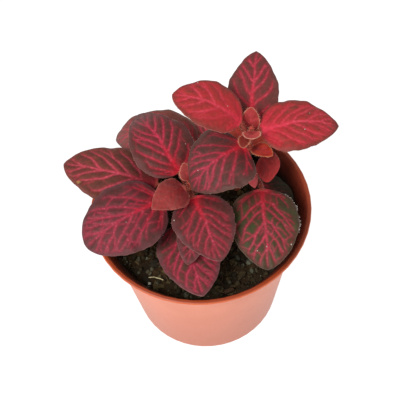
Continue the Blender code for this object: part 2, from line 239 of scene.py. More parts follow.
STEMS = {
    "left": [(-3.0, 5.0, 45.0), (-3.0, 5.0, 57.0), (-3.6, 2.2, 66.0), (-4.0, -1.5, 78.0), (-3.8, -4.4, 88.0), (-3.6, -5.4, 91.5)],
    "right": [(16.0, 14.0, 45.0), (16.0, 14.0, 57.0), (16.3, 11.3, 70.0), (17.8, 7.0, 86.0), (19.8, 4.2, 100.0), (20.8, 3.4, 110.0), (20.9, 3.5, 112.0)],
    "rear": [(2.0, 20.5, 45.0), (2.0, 20.5, 57.0), (2.0, 22.0, 66.0), (1.5, 24.0, 75.0)],
}

# name, shoot, node height, heading, shape (as in the part), finish (family, veins, wave, brightness, redness)
LEAVES = [
    ("left_leaf_rear", "left", 86, 118, dict(stalk=5.5, rise=40, pitch=25, droop=52, length=34, width=25.5), dict(family="dark", field=(84, 50, 43), field2=(94, 50, 44), halo=(128, 40, 48), vein=(200, 48, 78), links=0.22, forks=0.25, tip=(114, 86, 84, 0.62, 0.80))),
    ("left_leaf_front", "left", 86, -73, dict(stalk=3, rise=20, pitch=5, droop=25, length=29, width=24, low=0.38), dict(family="dark", field=(82, 46, 41), field2=(92, 47, 43), halo=(130, 42, 50), vein=(180, 44, 66), margin=(98, 54, 55), links=0.22, forks=0.35, bold=0.80)),
    ("left_leaf_over_rim", "left", 80, -152, dict(stalk=10, rise=25, pitch=12, droop=50, length=35.5, width=29.5, roll=-12, low=0.38, high=0.55, out=-168), dict(family="dark", field=(74, 44, 38), field2=(84, 46, 42), halo=(126, 42, 54), vein=(176, 44, 70), margin=(100, 56, 60), links=0.75, forks=0.6, weave=1.15, spread=1.0)),
    ("left_leaf_outer", "left", 76, 163, dict(stalk=12, rise=35, pitch=15, droop=24, length=39, width=28, high=0.66), dict(family="dark", field=(103, 62, 45), field2=(91, 50, 41), halo=(130, 48, 48), vein=(218, 74, 96), base=(136, 30, 40), shade=(62, 16, 16), margin=(122, 64, 56), links=0.10, forks=0.5, bold=0.9, shade_to=0.55, shade_by=0.85, blemish=(-47.2, 4.4, 85.3, 1.25))),
    ("left_leaf_inner", "left", 78, 40, dict(stalk=2.5, rise=10, pitch=0, droop=30, length=14, width=12), dict(family="dark")),
    ("left_tip_leaf_open", "left", 91, -141, dict(stalk=1, rise=40, pitch=19, droop=26, length=16.3, width=12.8, high=0.85, low=0.34, roll=-20), dict(family="young", field=(128, 53, 49), field2=(150, 68, 64), margin=(146, 65, 59), rim=(184, 100, 88), rim_width=0.24, shade=(84, 16, 18), fade=0.35, shade_by=0.85, shade_to=0.6)),
    ("left_tip_leaf_small", "left", 90.5, 100, dict(stalk=0.5, rise=60, pitch=35, droop=10, length=7, width=5.5, high=0.8), dict(family="young", field=(136, 52, 48), field2=(154, 66, 62), fade=0.4)),
    ("rear_leaf_left", "rear", 72.5, 152, dict(stalk=1.2, rise=45, pitch=30, droop=80, length=37.5, width=30, sweep=24, low=0.36), dict(family="dark", field=(108, 61, 51), field2=(120, 63, 55), halo=(134, 50, 54), margin=(108, 68, 58), links=0.2, forks=0.2, tip=(118, 90, 86, 0.6, 0.45), gain=1.2)),
    ("rear_leaf_back", "rear", 69, 75, dict(stalk=3.5, rise=35, pitch=18, droop=30, length=17, width=14), dict(family="dark", gain=2.1)),
    ("rear_leaf_right", "rear", 72, 12, dict(stalk=3, rise=20, pitch=10, droop=40, length=24, width=18), dict(family="green")),
    ("front_leaf_long", "left", 68, -79, dict(stalk=10.5, rise=12, pitch=8, droop=10, length=35, width=25, out=-140), dict(family="dark", field=(83, 59, 47), field2=(91, 57, 47), halo=(138, 46, 58), vein=(200, 56, 86), margin=(112, 60, 66), links=0.4, forks=0.5, weave=1.1)),
    ("front_leaf_small", "left", 75, -103, dict(stalk=7, rise=20, pitch=2, droop=12, length=23, width=13, out=-55), dict(family="dark", field=(88, 54, 48), field2=(96, 55, 49), halo=(124, 48, 54), vein=(180, 62, 80), margin=(110, 64, 66), links=0.3)),
    ("right_leaf_back", "right", 104, 80, dict(stalk=6, rise=50, pitch=22, droop=25, length=30, width=20, high=0.8), dict(family="dark", field=(94, 54, 46), field2=(108, 52, 48), halo=(142, 42, 50), vein=(200, 54, 76), margin=(104, 58, 54), links=0.08, forks=0.30, pairs=5, bold=1.05)),
    ("right_leaf_left", "right", 109, 155, dict(stalk=4.2, rise=80, pitch=51, droop=72, bend=1, sweep=4, length=29, width=21.5, low=0.54, high=0.69, out=158), dict(family="bright", field=(120, 56, 44), field2=(164, 48, 48), halo=(180, 42, 50), links=0.06, forks=0.30, bold=0.60, spread=1.25, fade=0.95, calm=0.6, pairs=5, shade=(186, 36, 46), shade_to=0.7, rim=(176, 112, 96), band=(0.1, 2.8))),
    ("right_leaf_right", "right", 107.5, 4, dict(stalk=2.1, rise=58, pitch=16, droop=58, length=31.2, width=23.4, roll=3, low=0.46, high=0.8), dict(family="bright", field=(114, 58, 46), field2=(158, 48, 48), halo=(180, 42, 50), links=0.18, forks=0.5, bold=0.62, spread=0.95, base=(220, 56, 78), shade=(184, 34, 46), shade_to=0.5, tip=(104, 46, 44, 0.84, 0.6), calm=0.25, band=(0.1, 2.8))),
    ("right_leaf_drooping", "right", 101.5, -151, dict(stalk=0.6, rise=40, pitch=20, droop=90, length=28, width=29.5, low=0.30, bend=1.1), dict(family="dark", field=(76, 50, 43), field2=(88, 52, 46), halo=(124, 44, 52), vein=(188, 48, 74), margin=(90, 58, 52), links=0.25, forks=0.35, bold=0.82)),
    ("right_leaf_hanging", "right", 95, -37, dict(stalk=4.6, rise=10, pitch=-38, droop=26, length=10, width=12.6, low=0.24, high=0.24, out=-14), dict(family="bright", field=(108, 14, 12), field2=(126, 18, 15), halo=(124, 16, 15), vein=(148, 25, 25), margin=(158, 37, 37), band=(0.1, 1.4), shade=(98, 9, 9), base=(116, 12, 12), tip=(186, 42, 43, 0.30, 0.85), shade_by=0.3, fade=0.35)),
    ("right_leaf_bud", "right", 90, -70, dict(stalk=3.5, rise=-20, pitch=-40, droop=20, length=8, width=5), dict(family="bright", field=(214, 88, 94), field2=(222, 98, 100), halo=(222, 78, 90), vein=(226, 88, 100), margin=(210, 102, 98), shade_by=0.1)),
    ("right_leaf_low_front", "right", 79, -92, dict(stalk=14, rise=20, pitch=7, droop=40, length=34, width=27, out=-38, high=0.66), dict(family="green", links=0.75, forks=0.45, weave=1.15, bold=0.98, rungs=3, reach=1.06)),
    ("right_leaf_low_back", "right", 82, 80, dict(stalk=4, rise=20, pitch=10, droop=35, length=25, width=19), dict(family="dark", field=(128, 44, 32), field2=(140, 52, 36), halo=(136, 44, 34), vein=(150, 50, 40), shade=(110, 36, 26), margin=(150, 70, 50), gain=2.0)),
    ("right_leaf_low_side", "right", 70, -30, dict(stalk=5, rise=15, pitch=3, droop=20, length=18, width=13), dict(family="green", field=(28, 32, 10), field2=(34, 28, 11), halo=(42, 24, 12), vein=(60, 28, 18), margin=(36, 34, 14), rim=(58, 52, 34), shade=(28, 14, 6), fade=0.4)),
    ("right_leaf_under", "right", 94, 155, dict(stalk=3, rise=20, pitch=5, droop=45, length=17, width=14), dict(family="dark")),
    ("right_tip_leaf_back", "right", 106.2, 80, dict(stalk=0.6, rise=70, pitch=61, droop=10, length=9.3, width=7.1, low=0.4, high=0.67, out=86), dict(family="young", field=(142, 40, 40), field2=(168, 54, 54), vein=(188, 54, 64), rim=(208, 148, 124), fade=0.8)),
    ("right_tip_leaf_front", "right", 111.4, -95, dict(stalk=1.4, rise=80, pitch=12, droop=-28, length=5.2, width=6.8, cup=-0.16, low=0.26, high=0.45), dict(family="young", field=(178, 66, 62), field2=(192, 78, 72), halo=(184, 60, 60), margin=(188, 84, 74), rim=(224, 164, 140))),
    ("right_tip_leaf_side", "right", 104.5, 104, dict(stalk=2.5, rise=50, pitch=45, droop=2, length=13.4, width=4.8, roll=38, low=0.48, high=0.56, out=132), dict(family="young")),
    ("right_tip_leaf_right", "right", 100.6, -42, dict(stalk=0.6, rise=30, pitch=15, droop=10, length=9, width=7, cup=-0.12), dict(family="young", field=(151, 37, 28), field2=(190, 60, 44), halo=(155, 37, 29), margin=(171, 69, 42), base=(78, 19, 14), rim=(203, 128, 88))),
    ("right_tip_leaf_left", "right", 109.2, 250, dict(stalk=1.4, rise=22, pitch=-12, droop=15, length=5, width=4.4, out=206), dict(family="young", field=(112, 30, 17), field2=(98, 26, 16), halo=(114, 30, 19), vein=(128, 35, 24), margin=(128, 42, 26), rim=(188, 122, 90))),
]
USUAL = dict(stalk=5.0, rise=20.0, out=None, pitch=5.0, droop=30.0, bend=1.5, sweep=0.0, length=28.0, width=21.0,
             roll=0.0, cup=0.02, low=0.42, high=0.72)


def body_radius(z):
    return BODY_FOOT_RADIUS + (BODY_TOP_RADIUS - BODY_FOOT_RADIUS) * z / FLARE_START


def inner_radius(z):
    return body_radius(z) - WALL


def soil_height(x, y):
    r = np.hypot(x, y) / inner_radius(SOIL_LEVEL)
    dome = SOIL_DOME * (1.0 - r * r)
    lumps = 0.35 * np.sin(0.31 * x + 0.8) * np.cos(0.27 * y - 0.4) + 0.2 * np.sin(0.17 * x - 0.23 * y)
    return SOIL_LEVEL - SOIL_DOME * 0.5 + dome + lumps


def along(route, z):
    for a, b in zip(route, route[1:]):
        if a[2] <= z <= b[2]:
            k = (z - a[2]) / (b[2] - a[2])
            return np.array([a[i] + k * (b[i] - a[i]) for i in range(3)])
    return np.array(route[-1], float)


def stem_radius(route, z):
    k = min(1.0, max(0.0, (z - SOIL_LEVEL) / (route[-1][2] - SOIL_LEVEL)))
    return STEM_RADIUS + (STEM_TIP - STEM_RADIUS) * k


def walk(start, heading, slope, length, turn, drop, bend, n):
    """Points and (heading, slope) angles of a curve that turns sideways by turn and down by drop."""
    fine = 4
    u = (np.arange(n * fine) + 0.5) / (n * fine)
    a, e = np.radians(heading + turn * u), np.radians(slope - drop * u ** bend)
    steps = length / (n * fine) * np.stack([np.cos(e) * np.cos(a), np.cos(e) * np.sin(a), np.sin(e)], -1)
    points = np.vstack([np.zeros(3), np.cumsum(steps, 0)])[::fine] + np.asarray(start, float)
    u = np.arange(n + 1) / n
    return points, np.radians(heading + turn * u), np.radians(slope - drop * u ** bend)


def frames(a, e, roll):
    t = np.stack([np.cos(e) * np.cos(a), np.cos(e) * np.sin(a), np.sin(e)], -1)
    side = np.stack([-np.sin(a), np.cos(a), np.zeros_like(a)], -1)
    up = np.cross(t, side)
    r = math.radians(roll)
    return t, side * math.cos(r) + up * math.sin(r), up * math.cos(r) - side * math.sin(r)


# ------------------------------------------------------------------ vein net, drawn on the flattened blade
class Blade:
    def __init__(self, name, leaf, finish):
        self.name, self.leaf = name, leaf
        usual = {"dark": (0.30, 0.40), "green": (0.45, 0.35), "bright": (0.15, 0.55), "young": (0.05, 0.2)}[finish["family"]]
        self.links, self.forks = finish.get("links", usual[0]), finish.get("forks", usual[1])
        self.rungs, self.weave = finish.get("rungs", 3), finish.get("weave", 1.0)
        self.bold, self.reach = finish.get("bold", 1.0), finish.get("reach", 1.0)
        self.L, self.W = leaf["length"], leaf["width"]
        peak = leaf["low"] / (leaf["low"] + leaf["high"])
        self.top = peak ** leaf["low"] * (1.0 - peak) ** leaf["high"]
        self.rs = seeded(name)
        self.phase = self.rs.uniform(0, 2 * math.pi, 8)
        self.scale = (self.L / 34.0) ** 0.5
        self.drift = [Lattice(self.rs.randint(9999)) for _ in range(4)]
        self.pairs = finish.get("pairs")

    def half(self, u):
        u = np.clip(u, 0.0, 1.0)
        return 0.5 * self.W * u ** self.leaf["low"] * (1.0 - u) ** self.leaf["high"] / self.top

    def hw(self, x):
        return max(0.02, float(self.half(np.array(x / self.L))))

    def grow(self, x, y, side, a0, a1, reach, step=0.35, wander=5.0, limit=60.0):
        """Runs outward from the midrib, swinging from angle a0 to a1, until it is reach of the way to the margin."""
        ph = self.rs.uniform(0, 6.28)
        pts = [(x, y)]
        v0 = abs(y) / self.hw(x)
        run = 0.0
        while run < limit:
            v = abs(y) / self.hw(x)
            if v >= reach or x > 0.97 * self.L or x < 0.02:
                break
            k = min(1.0, max(0.0, (v - v0) / max(1e-6, reach - v0)))
            ang = math.radians(a0 + (a1 - a0) * k ** 0.75 + wander * math.sin(run / 1.1 + ph))
            x += step * math.cos(ang)
            y += side * step * math.sin(ang)
            run += step
            pts.append((x, y))
        return pts

    def skirt(self, x, y, side, length, drift=0.0, step=0.35):
        """Follows the margin towards the tip from (x, y), drifting outward by drift over its length."""
        v = min(0.95, abs(y) / self.hw(x))
        pts, run = [(x, y)], 0.0
        ph = self.rs.uniform(0, 6.28)
        while run < length and x < 0.96 * self.L:
            slope = (v * self.hw(x + 0.2) - v * self.hw(x)) / 0.2
            n = math.hypot(1.0, slope)
            x += step / n
            run += step
            v = min(0.95, max(0.3, v + drift * step / length + 0.01 * math.sin(run / 0.8 + ph)))
            y = side * v * self.hw(x)
            pts.append((x, y))
        return pts

    def net(self):
        """Veins as (points, radii, rank): rank 0 midrib, 1 side veins, 2 forks and loops, 3 fine links."""
        L, s, rs = self.L, self.scale, self.rs
        veins = []
        xs = np.linspace(0.0, 0.955 * L, 60)
        wig = 0.14 * s * np.sin(xs / 3.4 + self.phase[0]) + 0.07 * s * np.sin(xs / 1.4 + self.phase[1])
        veins.append((np.stack([xs, wig], -1), s * (0.82 - 0.68 * (xs / L) ** 0.62), 0))
        if self.pairs:
            starts = [0.015 + 0.72 * (k / (self.pairs - 1.0)) ** 1.15 for k in range(self.pairs)]
        elif L > 24:
            starts = [0.015, 0.115, 0.245, 0.39, 0.555, 0.735]
        elif L > 16:
            starts = [0.02, 0.13, 0.29, 0.48, 0.68]
        elif L > 10:
            starts = [0.03, 0.19, 0.40, 0.62]
        else:
            starts = [0.05, 0.32, 0.60]
        wide = self.W / L
        for side in (1, -1):
            mains = []
            if L > 16:
                # faint veins from the very base into the shoulders of the blade
                for a0, a1, far in ((104.0, 74.0, 0.66), (84.0, 52.0, 0.80)):
                    pts = self.grow(0.012 * L, 0.0, side, a0 + rs.uniform(-6, 6), a1 + rs.uniform(-6, 6), far + rs.uniform(-0.08, 0.04))
                    if len(pts) > 6:
                        t = np.linspace(0.0, 1.0, len(pts))
                        veins.append((np.array(pts), s * self.bold * (0.26 - 0.16 * t), 2))
            shift = rs.uniform(-0.01, 0.015) if side == 1 else rs.uniform(0.02, 0.055)
            for k, f in enumerate(starts):
                x0 = L * min(0.9, max(0.008, f + shift * min(1.0, f * 6) + rs.uniform(-0.018, 0.018)))
                a0 = (78.0, 58.0, 50.0, 45.0, 42.0, 38.0)[k] * (0.80 + 0.26 * wide) + rs.uniform(-7, 7)
                a1 = (44.0, 26.0, 19.0, 15.0, 13.0, 11.0)[k] * (0.7 + 0.4 * wide) + rs.uniform(-5, 5)
                reach = (0.70, 0.80, 0.84, 0.84, 0.80, 0.68)[k] * self.reach + rs.uniform(-0.06, 0.04)
                pts = self.grow(x0, 0.0, side, a0, a1, reach)
                m = len(pts)
                full = np.array(pts)
                t = np.linspace(0.0, 1.0, m)
                rad = s * self.bold * (0.43 - 0.10 * f) * (1.0 - 0.70 * t ** 1.2) * (0.82 + 0.32 * rs.rand()) + 0.02
                if k == 0:
                    rad = rad * 0.85
                rad[:6] *= np.linspace(1.45, 1.0, 6)[:len(rad[:6])]
                veins.append((full, rad, 1))
                mains.append((full, m))
                if L > 12 and rs.rand() < 0.25 + self.links:
                    tail = self.skirt(pts[-1][0], pts[-1][1], side, (2.2 + 3.0 * f) * s, drift=0.06)
                    if len(tail) > 3:
                        veins.append((np.array(tail), s * np.linspace(0.17, 0.07, len(tail)), 2))
                if L > 12 and m > 8:
                    for g, odds in ((0.66, 1.25), (0.40, 0.6)):
                        if rs.rand() > odds * self.forks:
                            continue
                        i = int((g + rs.uniform(-0.07, 0.07)) * m)
                        i = min(max(2, i), m - 3)
                        d = full[i + 1] - full[i - 1]
                        ang = math.degrees(math.atan2(abs(d[1]), d[0]))
                        fork = self.grow(full[i][0], full[i][1], side, ang + rs.uniform(26, 38), ang + 8.0,
                                         0.82 + rs.uniform(-0.05, 0.05), wander=8.0, limit=6.5 * s)
                        if len(fork) > 3:
                            t = np.linspace(0.0, 1.0, len(fork))
                            veins.append((np.array(fork), s * self.bold * (0.29 - 0.17 * t), 2))
            if L > 12:
                # short veins between the side veins
                for k in range(1, len(starts) - 1):
                    f = 0.5 * (starts[k] + starts[k + 1]) + rs.uniform(-0.02, 0.02)
                    pts = self.grow(L * f, 0.0, side, 46.0, 30.0, 0.14 + 0.14 * rs.rand(), wander=8.0)
                    if len(pts) > 3 and rs.rand() < 0.5:
                        t = np.linspace(0.0, 1.0, len(pts))
                        veins.append((np.array(pts), s * (0.15 - 0.08 * t), 3))
                # links from each side vein to the next
                for k in range(len(mains) - 1):
                    (pa, ma), (pb, mb) = mains[k], mains[k + 1]
                    if ma < 6 or mb < 6:
                        continue
                    count = self.rungs if L > 24 else 2
                    for j in range(count):
                        f = (j + 0.85 + rs.uniform(-0.25, 0.25)) / count
                        ia = min(ma - 1, int(f * 1.05 * ma))
                        ib = min(mb - 1, max(1, int((f - 0.12) * mb)))
                        a, b = pa[ia], pb[ib]
                        gap = np.linalg.norm(b - a)
                        if gap < 1.2 or gap > 8.0 * s:
                            continue
                        q = np.linspace(0.0, 1.0, max(4, int(gap / 0.4)))[:, None]
                        bow = np.array([-(b - a)[1], (b - a)[0]]) / gap * rs.uniform(-0.6, 0.6)
                        path = a * (1 - q) + b * q + bow * np.sin(math.pi * q) + 0.12 * np.sin(7.0 * q + rs.uniform(0, 6)) * np.array([0.6, 0.8])
                        pinch = 1.0 - 0.45 * np.sin(math.pi * q[:, 0])
                        veins.append((path, s * self.weave * (0.14 + 0.08 * rs.rand()) * pinch, 3))
        return veins

    def fields(self, X, Y):
        """At points of the flattened blade: distance beyond the main veins, the forks, the links and any vein, and the strength of vein colour."""
        u = X.ravel() / self.L
        sway = self.scale * smooth_step(0.0, 0.2, u)
        px = X.ravel() + sway * (0.70 * self.drift[0](X.ravel() / 5.6, Y.ravel() / 5.6 + 20.0) + 0.14 * self.drift[1](X.ravel() / 1.9, Y.ravel() / 1.9 + 20.0))
        calm = 0.35 + 0.65 * smooth_step(0.0, 3.0, np.abs(Y.ravel()))
        py = Y.ravel() + sway * calm * (0.70 * self.drift[2](X.ravel() / 5.6, Y.ravel() / 5.6 + 20.0) + 0.14 * self.drift[3](X.ravel() / 1.9, Y.ravel() / 1.9 + 20.0))
        P = np.stack([px, py], -1).astype(np.float32)
        main = np.zeros(len(P), np.float32)
        fork = np.full(len(P), 9.0, np.float32)
        fine = np.full(len(P), 9.0, np.float32)
        around = np.full(len(P), 9.0, np.float32)
        tint = np.zeros(len(P), np.float32)
        knit, crisp = 0.22 * self.scale, 0.14
        for pts, rad, rank in self.net():
            pts = np.asarray(pts, np.float32)
            rad = np.asarray(rad, np.float32)
            force = (1.0, self.rs.uniform(0.74, 1.0), self.rs.uniform(0.50, 0.85), self.links * self.rs.uniform(0.6, 1.3))[rank]
            lo, hi = pts.min(0) - 3.2, pts.max(0) + 3.2
            near = np.nonzero((P[:, 0] > lo[0]) & (P[:, 0] < hi[0]) & (P[:, 1] > lo[1]) & (P[:, 1] < hi[1]))[0]
            if not len(near):
                continue
            Q = P[near]
            best = np.full(len(Q), 9.0, np.float32)
            for a, b, ra, rb in zip(pts[:-1], pts[1:], rad[:-1], rad[1:]):
                d = b - a
                k = np.clip(((Q - a) @ d) / max(1e-9, float(d @ d)), 0.0, 1.0)
                gap = np.hypot(Q[:, 0] - a[0] - k * d[0], Q[:, 1] - a[1] - k * d[1]) - (ra + (rb - ra) * k)
                np.minimum(best, gap, out=best)
            tint[near] = np.maximum(tint[near], force / (1.0 + np.exp(np.clip(best / crisp, -30, 30))))
            around[near] = np.minimum(around[near], np.maximum(best, 0.0) + (0.0, 0.05, 0.18, 0.75 - 0.55 * min(1.0, self.links * 1.5))[rank])
            if rank <= 1:
                main[near] += np.exp(-np.clip(best, -2.0, 9.0) / knit)
            elif rank == 2:
                fork[near] = np.minimum(fork[near], best)
            else:
                fine[near] = np.minimum(fine[near], best)
        main = -knit * np.log(np.maximum(main, 1e-9))
        return [f.reshape(X.shape) for f in (main, fork, fine, around, tint)]


# ------------------------------------------------------------------ leaf finish
# Display colours of each family: field between the veins (two tones), halo beside a vein, vein, base of the blade,
# painted shade towards the stalk, margin band, rim line (margin hairs with a painted edge sheen), underside and its
# veins.
FAMILIES = {
    "dark": dict(field=(82, 49, 41), field2=(92, 50, 43), halo=(124, 40, 46), vein=(190, 50, 74), base=(196, 26, 44), shade=(80, 18, 20),
                 margin=(100, 54, 53), rim=(142, 100, 90), under=(118, 50, 46), under_vein=(150, 66, 60),
                 band=(0.4, 2.6), rim_width=0.20, halo_gain=0.95),
    "green": dict(field=(58, 70, 38), field2=(68, 60, 40), halo=(110, 42, 44), vein=(202, 54, 80), base=(180, 34, 50), shade=(66, 24, 20),
                  margin=(80, 54, 44), rim=(128, 108, 88), under=(96, 60, 46), under_vein=(150, 80, 70),
                  band=(0.3, 1.6), rim_width=0.22, halo_gain=0.8),
    "bright": dict(field=(140, 52, 46), field2=(168, 50, 50), halo=(182, 44, 52), vein=(222, 70, 92), base=(216, 48, 70), shade=(158, 28, 38),
                   margin=(120, 56, 48), rim=(126, 66, 58), under=(150, 50, 46), under_vein=(186, 80, 74),
                   band=(0.1, 2.0), rim_width=0.2, halo_gain=0.9),
    "young": dict(field=(150, 46, 43), field2=(168, 60, 54), halo=(160, 46, 44), vein=(172, 54, 56), base=(120, 24, 22), shade=(96, 22, 20),
                  margin=(156, 60, 52), rim=(214, 150, 126), under=(140, 60, 50), under_vein=(160, 80, 70),
                  band=(0.2, 1.2), rim_width=0.34, halo_gain=0.5),
}
STALK = (122, 48, 40)


def leaf_material(name, finish):
    fam = dict(FAMILIES[finish["family"]])
    fam.update({k: v for k, v in finish.items() if k in fam})
    gain = finish.get("gain", 1.0)
    fade = finish.get("fade", 1.0)

    def tone(key, k=1.0):
        r, g, b, _ = rgb(*[min(255, c * k) for c in fam[key]])
        return (min(1.0, r * gain), min(1.0, g * gain), min(1.0, b * gain), 1.0)

    n = Nodes("leaf_" + name)
    vein, halo, core = n.attr("vein"), n.attr("halo"), n.attr("core")
    edge, top, stalk, along_ = n.attr("edge"), n.attr("upper"), n.attr("stalk"), n.attr("along")
    patches = n.noise(4.2, 3.0, 0.55)
    clouds = n.noise(1.7, 3.0, 0.6)
    grain = n.noise(0.75, 3.0, 0.6)
    cells = n.voronoi(0.30)

    field = n.mix(n.ramp(patches, 0.36, 0.64), tone("field"), tone("field2"))
    field = n.mix(n.ramp(clouds, 0.35, 0.75, 0.0, 0.35), field, tone("halo", 0.9))
    near = n.math("MULTIPLY", halo, n.ramp(clouds, 0.25, 0.7, 0.7 * fam["halo_gain"], 1.0 * fam["halo_gain"]))
    colour = n.mix(near, field, tone("halo"))
    # painted shade: blades darken to maroon towards their stalk, away from the veins, where the leaves above shade
    # them; on some bright blades the same mix gives a redder base of their own
    painted_base_shade_and_tint = n.math("MULTIPLY", n.ramp(along_, 0.0, finish.get("shade_to", 0.34), finish.get("shade_by", 0.62), 0.0), n.ramp(clouds, 0.2, 0.7, 0.75, 1.0))
    colour = n.mix(painted_base_shade_and_tint, colour, tone("shade"))
    band = n.ramp(edge, fam["band"][0], fam["band"][1], 0.9, 0.0)
    band = n.math("MULTIPLY", band, n.ramp(patches, 0.25, 0.7, 0.6, 1.0))
    colour = n.mix(band, colour, tone("margin"))
    strength = n.math("MULTIPLY", vein, n.ramp(clouds, 0.28, 0.70, 0.58 * fade, 1.0 * fade))
    strength = n.math("MULTIPLY", strength, n.ramp(edge, 0.4, 2.6, 0.12, 1.0))
    flush = n.mix(n.ramp(along_, 0.05, 0.55), tone("base"), tone("vein"))
    strength = n.math("MULTIPLY", strength, n.ramp(along_, 0.05, 0.60, 1.0 - finish.get("calm", 0.0), 1.0))
    # painted highlight: pale pink glints scattered along the veins
    runs = n.noise(0.95, 3.0, 0.6)
    flush = n.mix(n.ramp(runs, 0.46, 0.70, 0.0, finish.get("runs", 0.50)), flush, rgb(236, 112, 132))
    colour = n.mix(strength, colour, flush)
    colour = n.mix(n.math("MULTIPLY", core, 0.85), colour, tone("base"))
    # pale rim line along the margin: partly the margin's own fine hairs, partly a painted edge sheen
    rim = n.ramp(edge, 0.4 * fam["rim_width"], fam["rim_width"], 1.0, 0.0)
    colour = n.mix(n.math("MULTIPLY", rim, n.ramp(grain, 0.3, 0.7, 0.3, 1.0)), colour, tone("rim"))
    blemish = finish.get("blemish")
    if blemish:
        # a small dried, yellowed spot
        gap = n.new("ShaderNodeVectorMath")
        gap.operation = "DISTANCE"
        n.link(n.place(), gap.inputs[0])
        gap.inputs[1].default_value = [c * MM for c in blemish[:3]]
        ragged = n.math("ADD", gap.outputs["Value"], n.math("MULTIPLY", n.math("SUBTRACT", grain, 0.5), 1.6 * blemish[3] * MM))
        colour = n.mix(n.ramp(ragged, 0.1 * blemish[3] * MM, blemish[3] * MM, 0.85, 0.0), colour, rgb(178, 134, 78))
    # tip colour: a painted greyish sheen towards the tip of left_leaf_rear and rear_leaf_left; on the other blades that
    # carry it, the tip's own colour
    tip = finish.get("tip")
    if tip:
        colour = n.mix(n.math("MULTIPLY", n.ramp(along_, tip[3], 1.0, 0.0, tip[4]), n.ramp(clouds, 0.2, 0.7, 0.7, 1.0)), colour, rgb(*tip[:3]))
    under = n.mix(n.ramp(patches, 0.35, 0.65, 0.0, 0.4), tone("under"), tone("under", 0.82))
    under = n.mix(n.math("MULTIPLY", vein, 0.8), under, tone("under_vein"))
    colour = n.mix(top, under, colour)
    skin = n.mix(n.ramp(grain, 0.3, 0.7), rgb(*STALK), rgb(STALK[0] * 1.25, STALK[1] * 1.4, STALK[2] * 1.3))
    colour = n.mix(stalk, colour, skin)
    # the finest mottling of single cells
    mottle = n.noise(1.15, 4.0, 0.68)
    speck = n.math("MULTIPLY", n.ramp(cells, 0.1, 0.7, 1.08, 0.88, soft=False), n.ramp(mottle, 0.28, 0.72, 0.84, 1.16))
    shade = n.new("ShaderNodeVectorMath")
    shade.operation = "SCALE"
    n.link(colour, shade.inputs[0])
    n.link(speck, shade.inputs["Scale"])
    base_rough = finish.get("rough", 0.52)
    rough = n.math("ADD", n.ramp(grain, 0.3, 0.7, base_rough, base_rough + 0.10), n.math("MULTIPLY", vein, 0.05))
    height = n.math("ADD", n.math("MULTIPLY", cells, -0.6), n.math("MULTIPLY", grain, 0.8))
    normal = n.bump(height, 0.10, 0.5)
    return n.finish(shade.outputs[0], rough, normal,
                    Sheen_Weight=finish.get("sheen", 0.03), Sheen_Roughness=0.45, Specular_IOR_Level=finish.get("spec", 0.18),
                    Subsurface_Weight=0.0)


